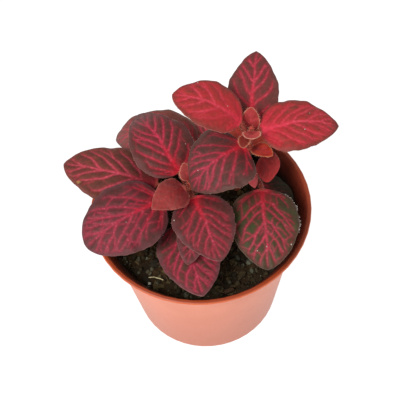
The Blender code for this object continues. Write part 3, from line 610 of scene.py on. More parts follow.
def build_leaf(name, shoot, height, heading, given, finish):
    leaf = dict(USUAL)
    leaf.update(given)
    blade = Blade(name, leaf, finish)
    L = leaf["length"]
    route = STEMS[shoot]
    out = heading if leaf["out"] is None else leaf["out"]
    stalk_r = 0.42 + 0.016 * L
    a = math.radians(out)
    tilt = abs(math.sin(math.radians(leaf["rise"]))) + 0.12
    clear = stem_radius(route, height) + GAP + stalk_r * tilt
    away = np.array([math.cos(a), math.sin(a), 0.0])
    start = along(route, height) + clear * away
    sp, sa, se = walk(start, out, leaf["rise"], leaf["stalk"], heading - out, leaf["rise"] - leaf["pitch"], 1.0, 14)
    rp, ra, re = walk(sp[-1], heading, leaf["pitch"], L, leaf["sweep"], leaf["droop"], leaf["bend"], 200)

    # points round one station: nt across the face, nb across the back
    size = min(1.0, L / 34.0)
    nt = 2 * int(round(14 + 34 * size))
    nb = 2 * int(round(6 + 6 * size))
    w = np.linspace(1.0, -1.0, nt + 1)
    face_v = np.sign(w) * (1.0 - (1.0 - np.abs(w)) ** 1.22)
    w = np.linspace(-1.0, 1.0, nb + 1)[1:-1]
    back_v = np.sign(w) * (1.0 - (1.0 - np.abs(w)) ** 1.22)
    v = np.concatenate([face_v, back_v])
    facing = np.concatenate([np.ones(nt + 1), -np.ones(nb - 1)])
    ring = len(v)

    # stations: even along the outline
    first = (stalk_r * 1.05 * blade.top / (0.5 * leaf["width"])) ** (1.0 / leaf["low"])
    fine = np.concatenate([np.geomspace(first, 0.03, 60)[:-1], np.linspace(0.03, 0.97, 240)[:-1], 1.0 - np.geomspace(0.03, 0.0012, 50)])
    outline = np.stack([fine * L, blade.half(fine)], -1)
    length = np.concatenate([[0.0], np.cumsum(np.hypot(*np.diff(outline, axis=0).T))])
    measure = 0.6 * length / length[-1] + 0.4 * (fine - first)
    count = int(round(36 + 116 * size))
    u = np.interp(np.linspace(measure[0], measure[-1], count), measure, fine)

    grid_u = np.linspace(0.0, 1.0, len(rp))
    P = np.stack([np.interp(u, grid_u, rp[:, i]) for i in range(3)], -1)
    A, E = np.interp(u, grid_u, ra), np.interp(u, grid_u, re)
    t, side, up = frames(A, E, leaf["roll"])
    half = blade.half(u)
    ph = blade.phase
    # outline a little uneven, each side its own way
    uneven = {1: 1.0 + 0.012 * np.sin(2 * math.pi * 3.3 * u + ph[2]) + 0.007 * np.sin(2 * math.pi * 9.0 * u + ph[3]),
              -1: 1.0 + 0.012 * np.sin(2 * math.pi * 2.9 * u + ph[4]) + 0.007 * np.sin(2 * math.pi * 8.2 * u + ph[5])}
    hw = np.where(v[None, :] >= 0, (half * uneven[1])[:, None], (half * uneven[-1])[:, None])
    X = np.repeat((u * L)[:, None], ring, 1)
    Y = v[None, :] * hw
    main, fork, fine_d, around, tint = blade.fields(X, Y)
    beyond = np.maximum(main, 0.0)

    cup = leaf["cup"]
    lateral = np.sin(cup * Y) / cup
    sag = (1.0 - np.cos(cup * Y)) / cup
    thick = 0.40 * (0.6 + 0.4 * min(1.0, L / 25.0))
    rounded = np.sqrt(np.clip(1.0 - np.abs(v) ** 7, 0.0, 1.0))[None, :]
    join = smooth_step(0.0, 0.04, u)[:, None]
    swell = 0.5 * thick * rounded * facing[None, :]
    quilt = finish.get("quilt", 0.34) * size
    relief = quilt * (1.0 - np.exp(-(beyond / 1.25) ** 2)) - 0.10 * size * np.exp(-(np.maximum(fork, 0) / 0.35) ** 2) - 0.05 * size * np.exp(-(np.maximum(fine_d, 0) / 0.3) ** 2)
    fade_out = (1.0 - smooth_step(0.86, 1.0, np.abs(v)))[None, :]
    relief = relief * (0.35 + 0.65 * fade_out) * join - 0.4 * quilt
    relief = relief - 0.16 * size * np.exp(-(Y / 1.6) ** 2)
    wave = finish.get("wave", 0.45) * size
    ripple = np.where(v[None, :] >= 0, np.sin(2 * math.pi * 2.6 * u + ph[6])[:, None] + 0.5 * np.sin(2 * math.pi * 5.3 * u + ph[2])[:, None],
                      np.sin(2 * math.pi * 2.3 * u + ph[7])[:, None] + 0.5 * np.sin(2 * math.pi * 4.9 * u + ph[3])[:, None])
    relief = relief + wave * ripple * (np.abs(v) ** 3)[None, :] * np.sin(math.pi * np.clip(u, 0, 1))[:, None] ** 0.5
    rib = stalk_r * 0.80 * (1.0 - 0.85 * u)[:, None] * np.exp(-(np.abs(Y) / (1.05 * stalk_r)) ** 2)
    ribs = 0.22 * size * np.exp(-(beyond / 0.35) ** 2)
    low_side = np.where(facing[None, :] < 0, -(rib + ribs) * rounded, 0.0)
    blade_up = swell + relief + low_side
    # the first stations pass from the round stalk into the blade
    phi = np.where(facing > 0, np.arccos(np.clip(v, -1, 1)), 2 * math.pi - np.arccos(np.clip(v, -1, 1)))
    round_up = stalk_r * np.sin(phi)[None, :]
    blade_up = join ** 0.5 * blade_up + (1.0 - join ** 0.5) * round_up
    V = P[:, None, :] + side[:, None, :] * lateral[..., None] + up[:, None, :] * (blade_up - sag)[..., None]

    # stalk
    st, ss, su = frames(sa, se, leaf["roll"])
    stalk_pts, stalk_side, stalk_up, stalk_rad = [], [], [], []
    for k in (0.45, 0.2):
        stalk_pts.append(sp[0] - away * clear * k - st[0] * 0.0)
        stalk_side.append(ss[0]); stalk_up.append(su[0]); stalk_rad.append(stalk_r * (1.28 if k > 0.3 else 1.22))
    for i in range(len(sp) - 1):
        k = i / (len(sp) - 1)
        stalk_pts.append(sp[i]); stalk_side.append(ss[i]); stalk_up.append(su[i])
        stalk_rad.append(stalk_r * (1.0 + 0.15 * math.exp(-k * leaf["stalk"] / 0.9) + 0.05 * k))
    sp2, ss2, su2, sr2 = map(np.array, (stalk_pts, stalk_side, stalk_up, stalk_rad))
    S = sp2[:, None, :] + sr2[:, None, None] * (np.cos(phi)[None, :, None] * ss2[:, None, :] + np.sin(phi)[None, :, None] * su2[:, None, :])

    rings = np.concatenate([S, V], 0)
    rows = len(rings)
    verts = rings.reshape(-1, 3)
    tip = rp[-1] + up[-1] * float(np.mean(relief[-1]))
    bottom = sp2[0] - 0.0 * st[0]
    verts = np.vstack([verts, tip, bottom])
    idx = np.arange(rows * ring).reshape(rows, ring)
    nxt = np.roll(idx, -1, axis=1)
    quads = np.stack([idx[:-1], nxt[:-1], nxt[1:], idx[1:]], -1).reshape(-1, 4)
    faces = quads.tolist()
    faces += [[int(idx[-1, j]), int(nxt[-1, j]), rows * ring] for j in range(ring)]
    faces += [[int(nxt[0, j]), int(idx[0, j]), rows * ring + 1] for j in range(ring)]

    # what the finish needs at each point
    margin = np.minimum((1.0 - np.abs(v))[None, :] * hw, ((1.0 - u) * L)[:, None] * 0.9 + 0.05)
    tip_fade = (1.0 - 0.30 * smooth_step(0.7, 1.0, u))[:, None]
    side_fade = (1.0 - 0.45 * smooth_step(0.60, 0.95, np.abs(v)))[None, :]
    vein = tint * tip_fade * side_fade
    halo = np.exp(-(around / (finish.get("spread", 0.75) * blade.scale)) ** 2)
    core = np.exp(-(X / (0.13 * L)) ** 2) * np.exp(-(Y / (0.11 * leaf["width"])) ** 2)
    core = np.maximum(core, 0.8 * np.exp(-(X / (0.30 * L)) ** 2) * np.exp(-(Y / 1.1) ** 2))
    grid = dict(vein=vein, halo=halo, core=core, edge=margin, upper=np.repeat((facing > 0)[None, :].astype(float), len(u), 0),
                along=np.repeat(u[:, None], ring, 1))
    data = {}
    for key, value in grid.items():
        head = {"vein": 0.0, "halo": 0.0, "core": 1.0, "edge": 9.0, "upper": 1.0, "along": 0.0}[key]
        data[key] = np.concatenate([np.full((len(sp2), ring), head), value], 0).ravel()
        data[key] = np.append(data[key], [value[-1].mean() if key != "edge" else 0.0, head])
    stalk_mask = np.zeros((rows, ring))
    stalk_mask[:len(sp2)] = 1.0
    stalk_mask[len(sp2):] = (1.0 - smooth_step(0.0, 0.035, u))[:, None] * (np.abs(Y) < stalk_r * 1.6)
    data["stalk"] = np.append(stalk_mask.ravel(), [0.0, 1.0])
    obj = mesh_piece("blade_" + name, verts, faces, leaf_material(name, finish), data)
    settle(obj, {"dark": "leaf_dark", "bright": "leaf_bright", "young": "leaf_young", "green": "leaf_green"}[finish["family"]], name)
    return dict(V=V, side=side, up=up, half=half, u=u, stalk=sp, stalk_r=stalk_r, nt=nt, name=name, leaf=leaf, frames=(st, ss, su))


built = {}
for leaf_name, shoot_name, node_height, blade_heading, shape, finish in LEAVES:
    built[leaf_name] = build_leaf(leaf_name, shoot_name, node_height, blade_heading, shape, finish)


# ------------------------------------------------------------------ stems
def stem_material():
    n = Nodes("stem")
    streak = n.noise(1.1, 3.0, 0.6, stretch=(1.0, 1.0, 0.25))
    grain = n.noise(0.35, 3.0, 0.6)
    node_ring = n.attr("node")
    colour = n.mix(n.ramp(streak, 0.35, 0.65), rgb(176, 50, 24), rgb(212, 92, 54))
    colour = n.mix(n.ramp(grain, 0.45, 0.7, 0.0, 0.5), colour, rgb(198, 116, 86))
    colour = n.mix(n.math("MULTIPLY", node_ring, 0.6), colour, rgb(150, 34, 30))
    rough = n.ramp(grain, 0.3, 0.7, 0.55, 0.75)
    return n.finish(colour, rough, n.bump(grain, 0.15, 0.5), Sheen_Weight=0.15, Sheen_Roughness=0.5, Specular_IOR_Level=0.35)


def build_stem(shoot, mat):
    route = STEMS[shoot]
    top = route[-1][2]
    rows, sides = 150, 28
    zs = np.linspace(route[0][2] + 1.0, top, rows)
    path = np.array([along(route, z) for z in zs])
    for _ in range(6):
        path[1:-1] = 0.25 * path[:-2] + 0.5 * path[1:-1] + 0.25 * path[2:]
    tangent = np.gradient(path, axis=0)
    tangent /= np.linalg.norm(tangent, axis=1)[:, None]
    sx = np.cross(tangent, np.array([0.0, 1.0, 0.0]))
    sx /= np.linalg.norm(sx, axis=1)[:, None]
    sy = np.cross(tangent, sx)
    nodes = sorted(h for _, s, h, _, _, _ in LEAVES if s == shoot)
    swell = sum(np.exp(-((zs - h) / 0.9) ** 2) for h in nodes)
    rs = seeded(shoot)
    phi = np.linspace(0, 2 * math.pi, sides, endpoint=False)
    radius = np.array([stem_radius(route, z) for z in zs]) + 0.16 * np.clip(swell, 0, 1)
    radius[-6:] *= np.sqrt(np.clip(1.0 - (np.arange(6) / 5.5) ** 2, 0.02, 1.0))
    ridge = 1.0 + 0.045 * np.cos(4 * phi[None, :] + 0.03 * np.arange(rows)[:, None]) + 0.02 * rs.uniform(-1, 1, (rows, sides))
    R = radius[:, None] * ridge
    V = path[:, None, :] + R[..., None] * (np.cos(phi)[None, :, None] * sx[:, None, :] + np.sin(phi)[None, :, None] * sy[:, None, :])
    verts = np.vstack([V.reshape(-1, 3), path[0], path[-1]])
    idx = np.arange(rows * sides).reshape(rows, sides)
    nxt = np.roll(idx, -1, axis=1)
    faces = np.stack([idx[:-1], idx[1:], nxt[1:], nxt[:-1]], -1).reshape(-1, 4).tolist()
    faces += [[int(idx[0, j]), int(nxt[0, j]), rows * sides] for j in range(sides)]
    faces += [[int(nxt[-1, j]), int(idx[-1, j]), rows * sides + 1] for j in range(sides)]
    mark = np.append(np.repeat(np.clip(swell, 0, 1)[:, None], sides, 1).ravel(), [0.0, 1.0])
    obj = mesh_piece("stalk_" + shoot, verts, faces, mat, {"node": mark})
    settle(obj, "stem", "stem_" + shoot)
    return path, V


stem_mat = stem_material()
stems = {s: build_stem(s, stem_mat) for s in STEMS}


# ------------------------------------------------------------------ fine hairs, small pale specks on the blades
def hair_material():
    n = Nodes("plant_hair")
    streak = n.noise(0.8, 2.0, 0.5)
    grain = n.noise(0.3, 2.0, 0.5)
    colour = n.mix(n.ramp(streak, 0.3, 0.7), rgb(206, 136, 114), rgb(224, 172, 150))
    colour = n.mix(n.attr("pale"), colour, n.mix(n.ramp(streak, 0.3, 0.7), rgb(206, 200, 196), rgb(238, 232, 226)))
    return n.finish(colour, n.ramp(grain, 0.3, 0.7, 0.5, 0.7), Specular_IOR_Level=0.3)


def build_hairs():
    rs = np.random.RandomState(91)
    verts, faces, pale, base = [], [], [], 0

    def hair(root, aim, length, radius, light=0.0):
        nonlocal base
        aim = aim / np.linalg.norm(aim)
        bend = np.array([rs.uniform(-0.3, 0.3), rs.uniform(-0.3, 0.3), rs.uniform(-0.1, 0.4)])
        pts = [root + aim * length * k + bend * length * k * k * 0.5 for k in (0.0, 0.33, 0.66, 1.0)]
        v, f = tube(pts, radius * np.array([1.0, 0.85, 0.6, 0.25]), 4)
        verts.append(v)
        faces.extend([[i + base for i in q] for q in f])
        pale.append(np.full(len(v), light))
        base += len(v)

    margins = [(name, (1, -1), 0.04, 0.96, 46, 0.62) for name in
               ("left_tip_leaf_small", "right_tip_leaf_back", "right_tip_leaf_front", "right_tip_leaf_right", "right_tip_leaf_left", "right_tip_leaf_side")]
    margins += [("left_tip_leaf_open", (1, -1), 0.04, 0.96, 22, 0.36), ("right_leaf_low_front", (1,), 0.14, 0.58, 62, 0.55), ("right_leaf_left", (1,), 0.15, 0.9, 40, 0.42), ("right_leaf_right", (-1,), 0.1, 0.8, 30, 0.4),
                ("left_leaf_rear", (-1, 1), 0.1, 0.9, 34, 0.34), ("right_leaf_drooping", (-1, 1), 0.1, 0.9, 34, 0.34), ("left_leaf_front", (-1, 1), 0.1, 0.9, 30, 0.34),
                ("right_leaf_hanging", (-1, 1), 0.3, 0.95, 18, 0.4)]
    for name, sides_, lo, hi, count, reach in margins:
        b = built[name]
        rows = len(b["u"])
        for sgn in sides_:
            for _ in range(count):
                i = int(rows * rs.uniform(lo, hi))
                col = 0 if sgn > 0 else b["nt"]
                aim = sgn * b["side"][i] + 0.35 * rs.normal(size=3)
                white = name == "right_leaf_low_front"
                hair(b["V"][i, col], aim, reach * rs.uniform(0.6, 1.3) * (0.7 if b["leaf"]["length"] < 10 else 1.0),
                     rs.uniform(0.032, 0.05) if white else rs.uniform(0.022, 0.034), 0.75 if white else 0.0)
    for shoot, low, count in (("left", 74.0, 190), ("right", 84.0, 230), ("rear", 66.0, 50)):
        path, V = stems[shoot]
        rows = np.nonzero(path[:, 2] > low)[0]
        for _ in range(count):
            i = rows[rs.randint(len(rows))]
            j = rs.randint(V.shape[1])
            hair(V[i, j], V[i, j] - path[i] + 0.25 * rs.normal(size=3), rs.uniform(0.5, 1.0), rs.uniform(0.022, 0.034))
    for name, b in built.items():
        st, ss, su = b["frames"]
        for _ in range(int(7 * b["leaf"]["stalk"]) if b["leaf"]["stalk"] > 0.8 else 6):
            i = rs.randint(1, len(b["stalk"]) - 1)
            ang = rs.uniform(0, 2 * math.pi)
            out = math.cos(ang) * ss[i] + math.sin(ang) * su[i]
            hair(b["stalk"][i] + b["stalk_r"] * out, out + 0.25 * rs.normal(size=3), rs.uniform(0.35, 0.75), rs.uniform(0.020, 0.030))
    obj = mesh_piece("plant_hairs", np.vstack(verts), faces, hair_material(), {"pale": np.concatenate(pale)})
    settle(obj, "leaf_young")


def build_pale_specks():
    rs = np.random.RandomState(63)
    bv, bf = ball(2)
    verts, faces = [], []
    # blade, place along it, place across it (0 to 1 from one margin to the other), radius
    for made, (name, fu, fv, size) in enumerate((("front_leaf_long", 0.159, 0.927, 0.30), ("left_leaf_front", 0.299, 0.930, 0.36), ("right_leaf_low_front", 0.722, 0.500, 0.34),
                                                 ("right_leaf_low_front", 0.715, 0.083, 0.36), ("right_leaf_low_front", 0.768, 0.667, 0.28), ("left_leaf_over_rim", 0.497, 0.438, 0.24),
                                                 ("right_leaf_left", 0.709, 0.884, 0.26), ("right_leaf_right", 0.525, 0.644, 0.24), ("right_leaf_right", 0.62, 0.35, 0.2),
                                                 ("left_leaf_rear", 0.33, 0.8, 0.22), ("right_leaf_drooping", 0.72, 0.6, 0.22), ("right_leaf_left", 0.3, 0.6, 0.18))):
        b = built[name]
        i, j = int(fu * (len(b["u"]) - 1)), int(fv * b["nt"])
        shape = bv * (1.0 + 0.25 * rs.uniform(-1, 1, (len(bv), 1))) * size * rs.uniform(0.5, 1.0, 3)
        verts.append(shape @ turn_matrix(rs).T + b["V"][i, j] + 0.25 * size * b["up"][i])
        faces.append(bf + made * len(bv))
    obj = mesh_piece("pale_specks_on_leaves", np.vstack(verts), np.vstack(faces).tolist(), perlite_material())
    settle(obj, "perlite")


# ------------------------------------------------------------------ potting mix
def soil_material():
    n = Nodes("potting_mix")
    clod = n.noise(3.0, 4.0, 0.6)
    grain = n.noise(0.7, 4.0, 0.65)
    fleck = n.voronoi(1.3)
    tone = n.attr("tone")
    colour = n.mix(n.ramp(clod, 0.35, 0.65), rgb(40, 26, 9), rgb(63, 42, 16))
    colour = n.mix(n.ramp(grain, 0.55, 0.75, 0.0, 0.6), colour, rgb(66, 52, 36))
    colour = n.mix(n.ramp(fleck, 0.0, 0.16, 0.25, 0.0), colour, rgb(70, 74, 56))
    # darker in large random patches
    dark_patches = n.noise(6.0, 3.0, 0.6)
    colour = n.mix(n.ramp(dark_patches, 0.48, 0.64, 0.0, 0.6), colour, rgb(18, 16, 10))
    colour = n.mix(n.ramp(tone, 0.0, 1.0, 0.0, 1.0, soft=False), colour, rgb(84, 66, 46))
    return n.finish(colour, n.ramp(grain, 0.3, 0.7, 0.75, 0.95), n.bump(grain, 0.5, 0.8), Specular_IOR_Level=0.25)


def build_soil():
    rings, sides = 96, 264
    edge = inner_radius(SOIL_LEVEL) - 0.02
    r = edge * (np.arange(1, rings + 1) / rings) ** 0.92
    a = np.linspace(0, 2 * math.pi, sides, endpoint=False)
    X, Y = r[:, None] * np.cos(a)[None, :], r[:, None] * np.sin(a)[None, :]
    big, mid, small = Lattice(11), Lattice(12), Lattice(13)

    def lumps(x, y):
        q = 0.70 * big(x / 4.3 + 3.1, y / 4.3 + 9.7) + 0.60 * mid(x / 1.9 + 5.0, y / 1.9 + 2.2) + 0.24 * small(x / 0.8 + 7.7, y / 0.8 + 1.1)
        return q

    Z = soil_height(X, Y) + lumps(X, Y) * (1.0 - 0.5 * smooth_step(0.93, 1.0, r / edge))[:, None]
    centre = np.array([0.0, 0.0, float(soil_height(0.0, 0.0))])
    V = np.stack([X, Y, Z], -1)
    side_rings = []
    for z in (52.0, 40.0, 20.0, 6.0):
        rad = inner_radius(z) - 0.05 if z > 8 else inner_radius(z) - 2.0
        side_rings.append(np.stack([rad * np.cos(a), rad * np.sin(a), np.full(sides, z)], -1))
    base_z = BASE_RECESS + FLOOR + 0.1
    side_rings.append(np.stack([(inner_radius(base_z) - 3.0) * np.cos(a), (inner_radius(base_z) - 3.0) * np.sin(a), np.full(sides, base_z)], -1))
    V = np.concatenate([V, np.array(side_rings)], 0)
    rows = len(V)
    verts = np.vstack([V.reshape(-1, 3), centre, [0.0, 0.0, base_z]])
    idx = np.arange(rows * sides).reshape(rows, sides)
    nxt = np.roll(idx, -1, axis=1)
    faces = np.stack([idx[:-1], idx[1:], nxt[1:], nxt[:-1]], -1).reshape(-1, 4).tolist()
    faces += [[int(idx[0, j]), int(nxt[0, j]), rows * sides] for j in range(sides)]
    faces += [[int(nxt[-1, j]), int(idx[-1, j]), rows * sides + 1] for j in range(sides)]
    obj = mesh_piece("potting_mix_bed", verts, faces, soil_material(), {"tone": np.zeros(len(verts))})
    settle(obj, "soil", "soil")
    return lumps


def ball(divisions):
    import bmesh
    bm = bmesh.new()
    bmesh.ops.create_icosphere(bm, subdivisions=divisions, radius=1.0)
    verts = np.array([v.co[:] for v in bm.verts])
    faces = np.array([[v.index for v in f.verts] for f in bm.faces])
    bm.free()
    return verts, faces


def turn_matrix(rs):
    q = rs.normal(size=4)
    q /= np.linalg.norm(q)
    w, x, y, z = q
    return np.array([[1 - 2 * (y * y + z * z), 2 * (x * y - z * w), 2 * (x * z + y * w)],
                     [2 * (x * y + z * w), 1 - 2 * (x * x + z * z), 2 * (y * z - x * w)],
                     [2 * (x * z - y * w), 2 * (y * z + x * w), 1 - 2 * (x * x + y * y)]])


def crumb_material():
    n = Nodes("soil_crumbs")
    tone, pale = n.attr("tone"), n.attr("pale")
    grain = n.noise(0.5, 4.0, 0.65)
    colour = n.mix(tone, rgb(29, 22, 9), rgb(102, 84, 50))
    colour = n.mix(pale, colour, rgb(128, 132, 112))
    colour = n.mix(n.ramp(grain, 0.4, 0.7, 0.0, 0.5), colour, rgb(30, 24, 16))
    # darker in large random patches
    dark_patches = n.noise(6.0, 3.0, 0.6)
    colour = n.mix(n.ramp(dark_patches, 0.50, 0.66, 0.0, 0.5), colour, rgb(22, 20, 12))
    return n.finish(colour, n.ramp(grain, 0.3, 0.7, 0.7, 0.95), n.bump(grain, 0.3, 0.8), Specular_IOR_Level=0.25)


def build_crumbs(lumps):
    rs = np.random.RandomState(7)
    fine, plain = ball(2), ball(1)
    count = 1500
    verts, faces, tone, pale, base = [], [], [], [], 0
    edge = inner_radius(SOIL_LEVEL)
    made = 0
    while made < count:
        size = 0.26 + 0.95 * rs.rand() ** 2.6
        rad = math.sqrt(rs.rand()) * (edge - size - 0.15)
        ang = rs.uniform(0, 2 * math.pi)
        x, y = rad * math.cos(ang), rad * math.sin(ang)
        z = float(soil_height(x, y) + lumps(np.array(x), np.array(y))) + 0.25 * size
        scale = size * rs.uniform(0.6, 1.25, 3)
        knobs = rs.uniform(-1, 1, (len(fine[0]), 1))
        bv, bf = fine if size > 0.46 else plain
        shape = bv * (1.0 + 0.22 * knobs[:len(bv)]) * scale
        shape = shape @ turn_matrix(rs).T + np.array([x, y, z])
        faces.append(bf + base)
        base += len(bv)
        verts.append(shape)
        light = rs.rand()
        tone.append(np.full(len(bv), 0.05 + 0.35 * rs.rand() if light < 0.8 else 0.5 + 0.5 * rs.rand()))
        pale.append(np.full(len(bv), 0.0 if rs.rand() < 0.88 else (rs.uniform(0.10, 0.40) if size > 0.5 else rs.uniform(0.3, 1.0))))
        made += 1
    obj = mesh_piece("soil_crumbs", np.vstack(verts), np.vstack(faces).tolist(), crumb_material(),
                     {"tone": np.concatenate(tone), "pale": np.concatenate(pale)})
    settle(obj, "soil")


def tube(points, radii, sides=8, flat=1.0):
    """Closed tube along points: vertices and faces."""
    points = np.asarray(points, float)
    radii = np.broadcast_to(np.asarray(radii, float), (len(points),))
    tangent = np.gradient(points, axis=0)
    tangent /= np.maximum(1e-9, np.linalg.norm(tangent, axis=1))[:, None]
    ref = np.array([0.0, 0.0, 1.0]) if abs(tangent[len(points) // 2][2]) < 0.8 else np.array([1.0, 0.0, 0.0])
    sx = np.cross(tangent, ref)
    sx /= np.maximum(1e-9, np.linalg.norm(sx, axis=1))[:, None]
    sy = np.cross(sx, tangent)
    phi = np.linspace(0, 2 * math.pi, sides, endpoint=False)
    V = points[:, None, :] + radii[:, None, None] * (np.cos(phi)[None, :, None] * sx[:, None, :] + flat * np.sin(phi)[None, :, None] * sy[:, None, :])
    rows = len(points)
    verts = np.vstack([V.reshape(-1, 3), points[0], points[-1]])
    idx = np.arange(rows * sides).reshape(rows, sides)
    nxt = np.roll(idx, -1, axis=1)
    faces = np.stack([idx[:-1], nxt[:-1], nxt[1:], idx[1:]], -1).reshape(-1, 4).tolist()
    faces += [[int(nxt[0, j]), int(idx[0, j]), rows * sides] for j in range(sides)]
    faces += [[int(idx[-1, j]), int(nxt[-1, j]), rows * sides + 1] for j in range(sides)]
    return verts, faces


def fibre_material(name, low, high):
    n = Nodes(name)
    streak = n.noise(0.8, 3.0, 0.6)
    grain = n.noise(0.25, 2.0, 0.5)
    colour = n.mix(n.ramp(streak, 0.3, 0.7), rgb(*low), rgb(*high))
    return n.finish(colour, n.ramp(grain, 0.3, 0.7, 0.6, 0.85), n.bump(grain, 0.08, 0.6), Specular_IOR_Level=0.3)


def build_clods(lumps):
    """Broken flakes of bark and peat, and a few rounded grey-green grit stones at the front."""
    rs = np.random.RandomState(77)
    bv, bf = ball(2)
    box = np.sign(bv) * np.abs(bv) ** 0.55
    box /= np.abs(box).max(1)[:, None] ** 0.6
    verts, faces, tone, pale = [], [], [], []
    edge = inner_radius(SOIL_LEVEL)
    made = 0
    while made < 620:
        size = 0.75 + 1.35 * rs.rand() ** 2.2
        rad = math.sqrt(rs.rand()) * (edge - size - 0.2)
        ang = rs.uniform(0, 2 * math.pi)
        x, y = rad * math.cos(ang), rad * math.sin(ang)
        z = float(soil_height(x, y) + lumps(np.array(x), np.array(y))) + 0.12 * size
        scale = size * np.array([1.0, rs.uniform(0.35, 0.75), rs.uniform(0.16, 0.42)])
        shape = box * (1.0 + 0.20 * rs.uniform(-1, 1, (len(bv), 1))) * scale
        yaw, lean_x, lean_y = rs.uniform(0, 2 * math.pi), rs.normal() * 0.42, rs.normal() * 0.42
        turn = np.array(Matrix.Rotation(yaw, 3, "Z") @ Matrix.Rotation(lean_x, 3, "X") @ Matrix.Rotation(lean_y, 3, "Y"))
        verts.append(shape @ turn.T + np.array([x, y, z]))
        faces.append(bf + made * len(bv))
        light = rs.rand()
        tone.append(np.full(len(bv), 0.05 + 0.30 * rs.rand() if light < 0.66 else 0.45 + 0.55 * rs.rand()))
        pale.append(np.full(len(bv), 0.0 if rs.rand() < 0.92 else rs.uniform(0.08, 0.28)))
        made += 1
    # x, y, radius, paleness
    for x, y, size, light in ((-23.8, -16.4, 0.75, 0.9), (-31.8, -17.3, 0.5, 0.8), (-30.6, -18.2, 0.42, 0.7), (-23.4, -29.4, 0.62, 1.0),
                              (-20.7, -30.6, 0.6, 0.55), (-14.3, -26.7, 0.5, 0.9), (-34.9, -15.6, 0.4, 0.8), (13.2, -19.9, 1.25, 0.45),
                              (17.6, -22.6, 1.45, 0.50), (18.4, -26.6, 1.2, 0.38), (5.8, -27.0, 1.0, 0.3), (-19.3, -16.3, 0.5, 0.5),
                              (-15.8, -31.4, 0.55, 0.8), (9.0, -31.0, 0.9, 0.3), (-27.0, -23.5, 0.8, 0.35)):
        z = float(soil_height(x, y) + lumps(np.array(x), np.array(y))) + 0.35 * size
        shape = bv * (1.0 + 0.14 * rs.uniform(-1, 1, (len(bv), 1))) * size * np.array([1.1, 0.9, 0.75])
        verts.append(shape @ turn_matrix(rs).T + np.array([x, y, z]))
        faces.append(bf + made * len(bv))
        tone.append(np.full(len(bv), 0.3))
        pale.append(np.full(len(bv), light))
        made += 1
    obj = mesh_piece("soil_clods", np.vstack(verts), np.vstack(faces).tolist(), crumb_material(),
                     {"tone": np.concatenate(tone), "pale": np.concatenate(pale)}, flat=True)
    settle(obj, "soil")


def build_fibres(lumps):
    rs = np.random.RandomState(21)
    verts, faces, base = [], [], 0
    edge = inner_radius(SOIL_LEVEL)
    for _ in range(60):
        rad = math.sqrt(rs.rand()) * (edge - 5.0)
        ang = rs.uniform(0, 2 * math.pi)
        x, y = rad * math.cos(ang), rad * math.sin(ang)
        head, turn = rs.uniform(0, 2 * math.pi), rs.uniform(-0.12, 0.12)
        n, step = 12, rs.uniform(0.15, 0.50)
        pts = []
        for i in range(n):
            z = float(soil_height(x, y) + lumps(np.array(x), np.array(y))) + 0.12 + 0.45 * math.sin(math.pi * i / (n - 1))
            pts.append((x, y, z))
            x += step * math.cos(head); y += step * math.sin(head); head += turn * rs.uniform(0.2, 1.4)
        if max(math.hypot(p[0], p[1]) for p in pts) > edge - 0.5:
            continue
        radius = rs.uniform(0.07, 0.16) * np.sin(np.linspace(0.35, math.pi - 0.35, n)) ** 0.4
        v, f = tube(pts, radius, 7)
        verts.append(v)
        faces += [[i + base for i in q] for q in f]
        base += len(v)
    obj = mesh_piece("soil_fibres", np.vstack(verts), faces, fibre_material("soil_fibres", (58, 42, 26), (112, 88, 58)))
    settle(obj, "soil")


lumps = build_soil()
build_crumbs(lumps)
build_clods(lumps)
build_fibres(lumps)


# ------------------------------------------------------------------ fragments on the mix
def chip_material():
    n = Nodes("bark")
    streak = n.noise(1.0, 4.0, 0.65, stretch=(0.35, 1.0, 1.0))
    grain = n.noise(0.4, 4.0, 0.6)
    colour = n.mix(n.ramp(streak, 0.3, 0.7), rgb(36, 24, 14), rgb(74, 50, 30))
    colour = n.mix(n.ramp(grain, 0.5, 0.75, 0.0, 0.6), colour, rgb(92, 70, 48))
    return n.finish(colour, n.ramp(grain, 0.3, 0.7, 0.7, 0.92), n.bump(streak, 0.5, 0.8), Specular_IOR_Level=0.25)


def perlite_material():
    n = Nodes("perlite")
    grain = n.noise(0.45, 4.0, 0.6)
    pits = n.voronoi(0.35)
    colour = n.mix(n.ramp(grain, 0.3, 0.7), rgb(150, 142, 124), rgb(206, 200, 184))
    colour = n.mix(n.ramp(pits, 0.0, 0.2, 0.6, 0.0), colour, rgb(96, 82, 62))
    return n.finish(colour, n.ramp(grain, 0.3, 0.7, 0.7, 0.9), n.bump(pits, 0.2, 0.8), Specular_IOR_Level=0.3)


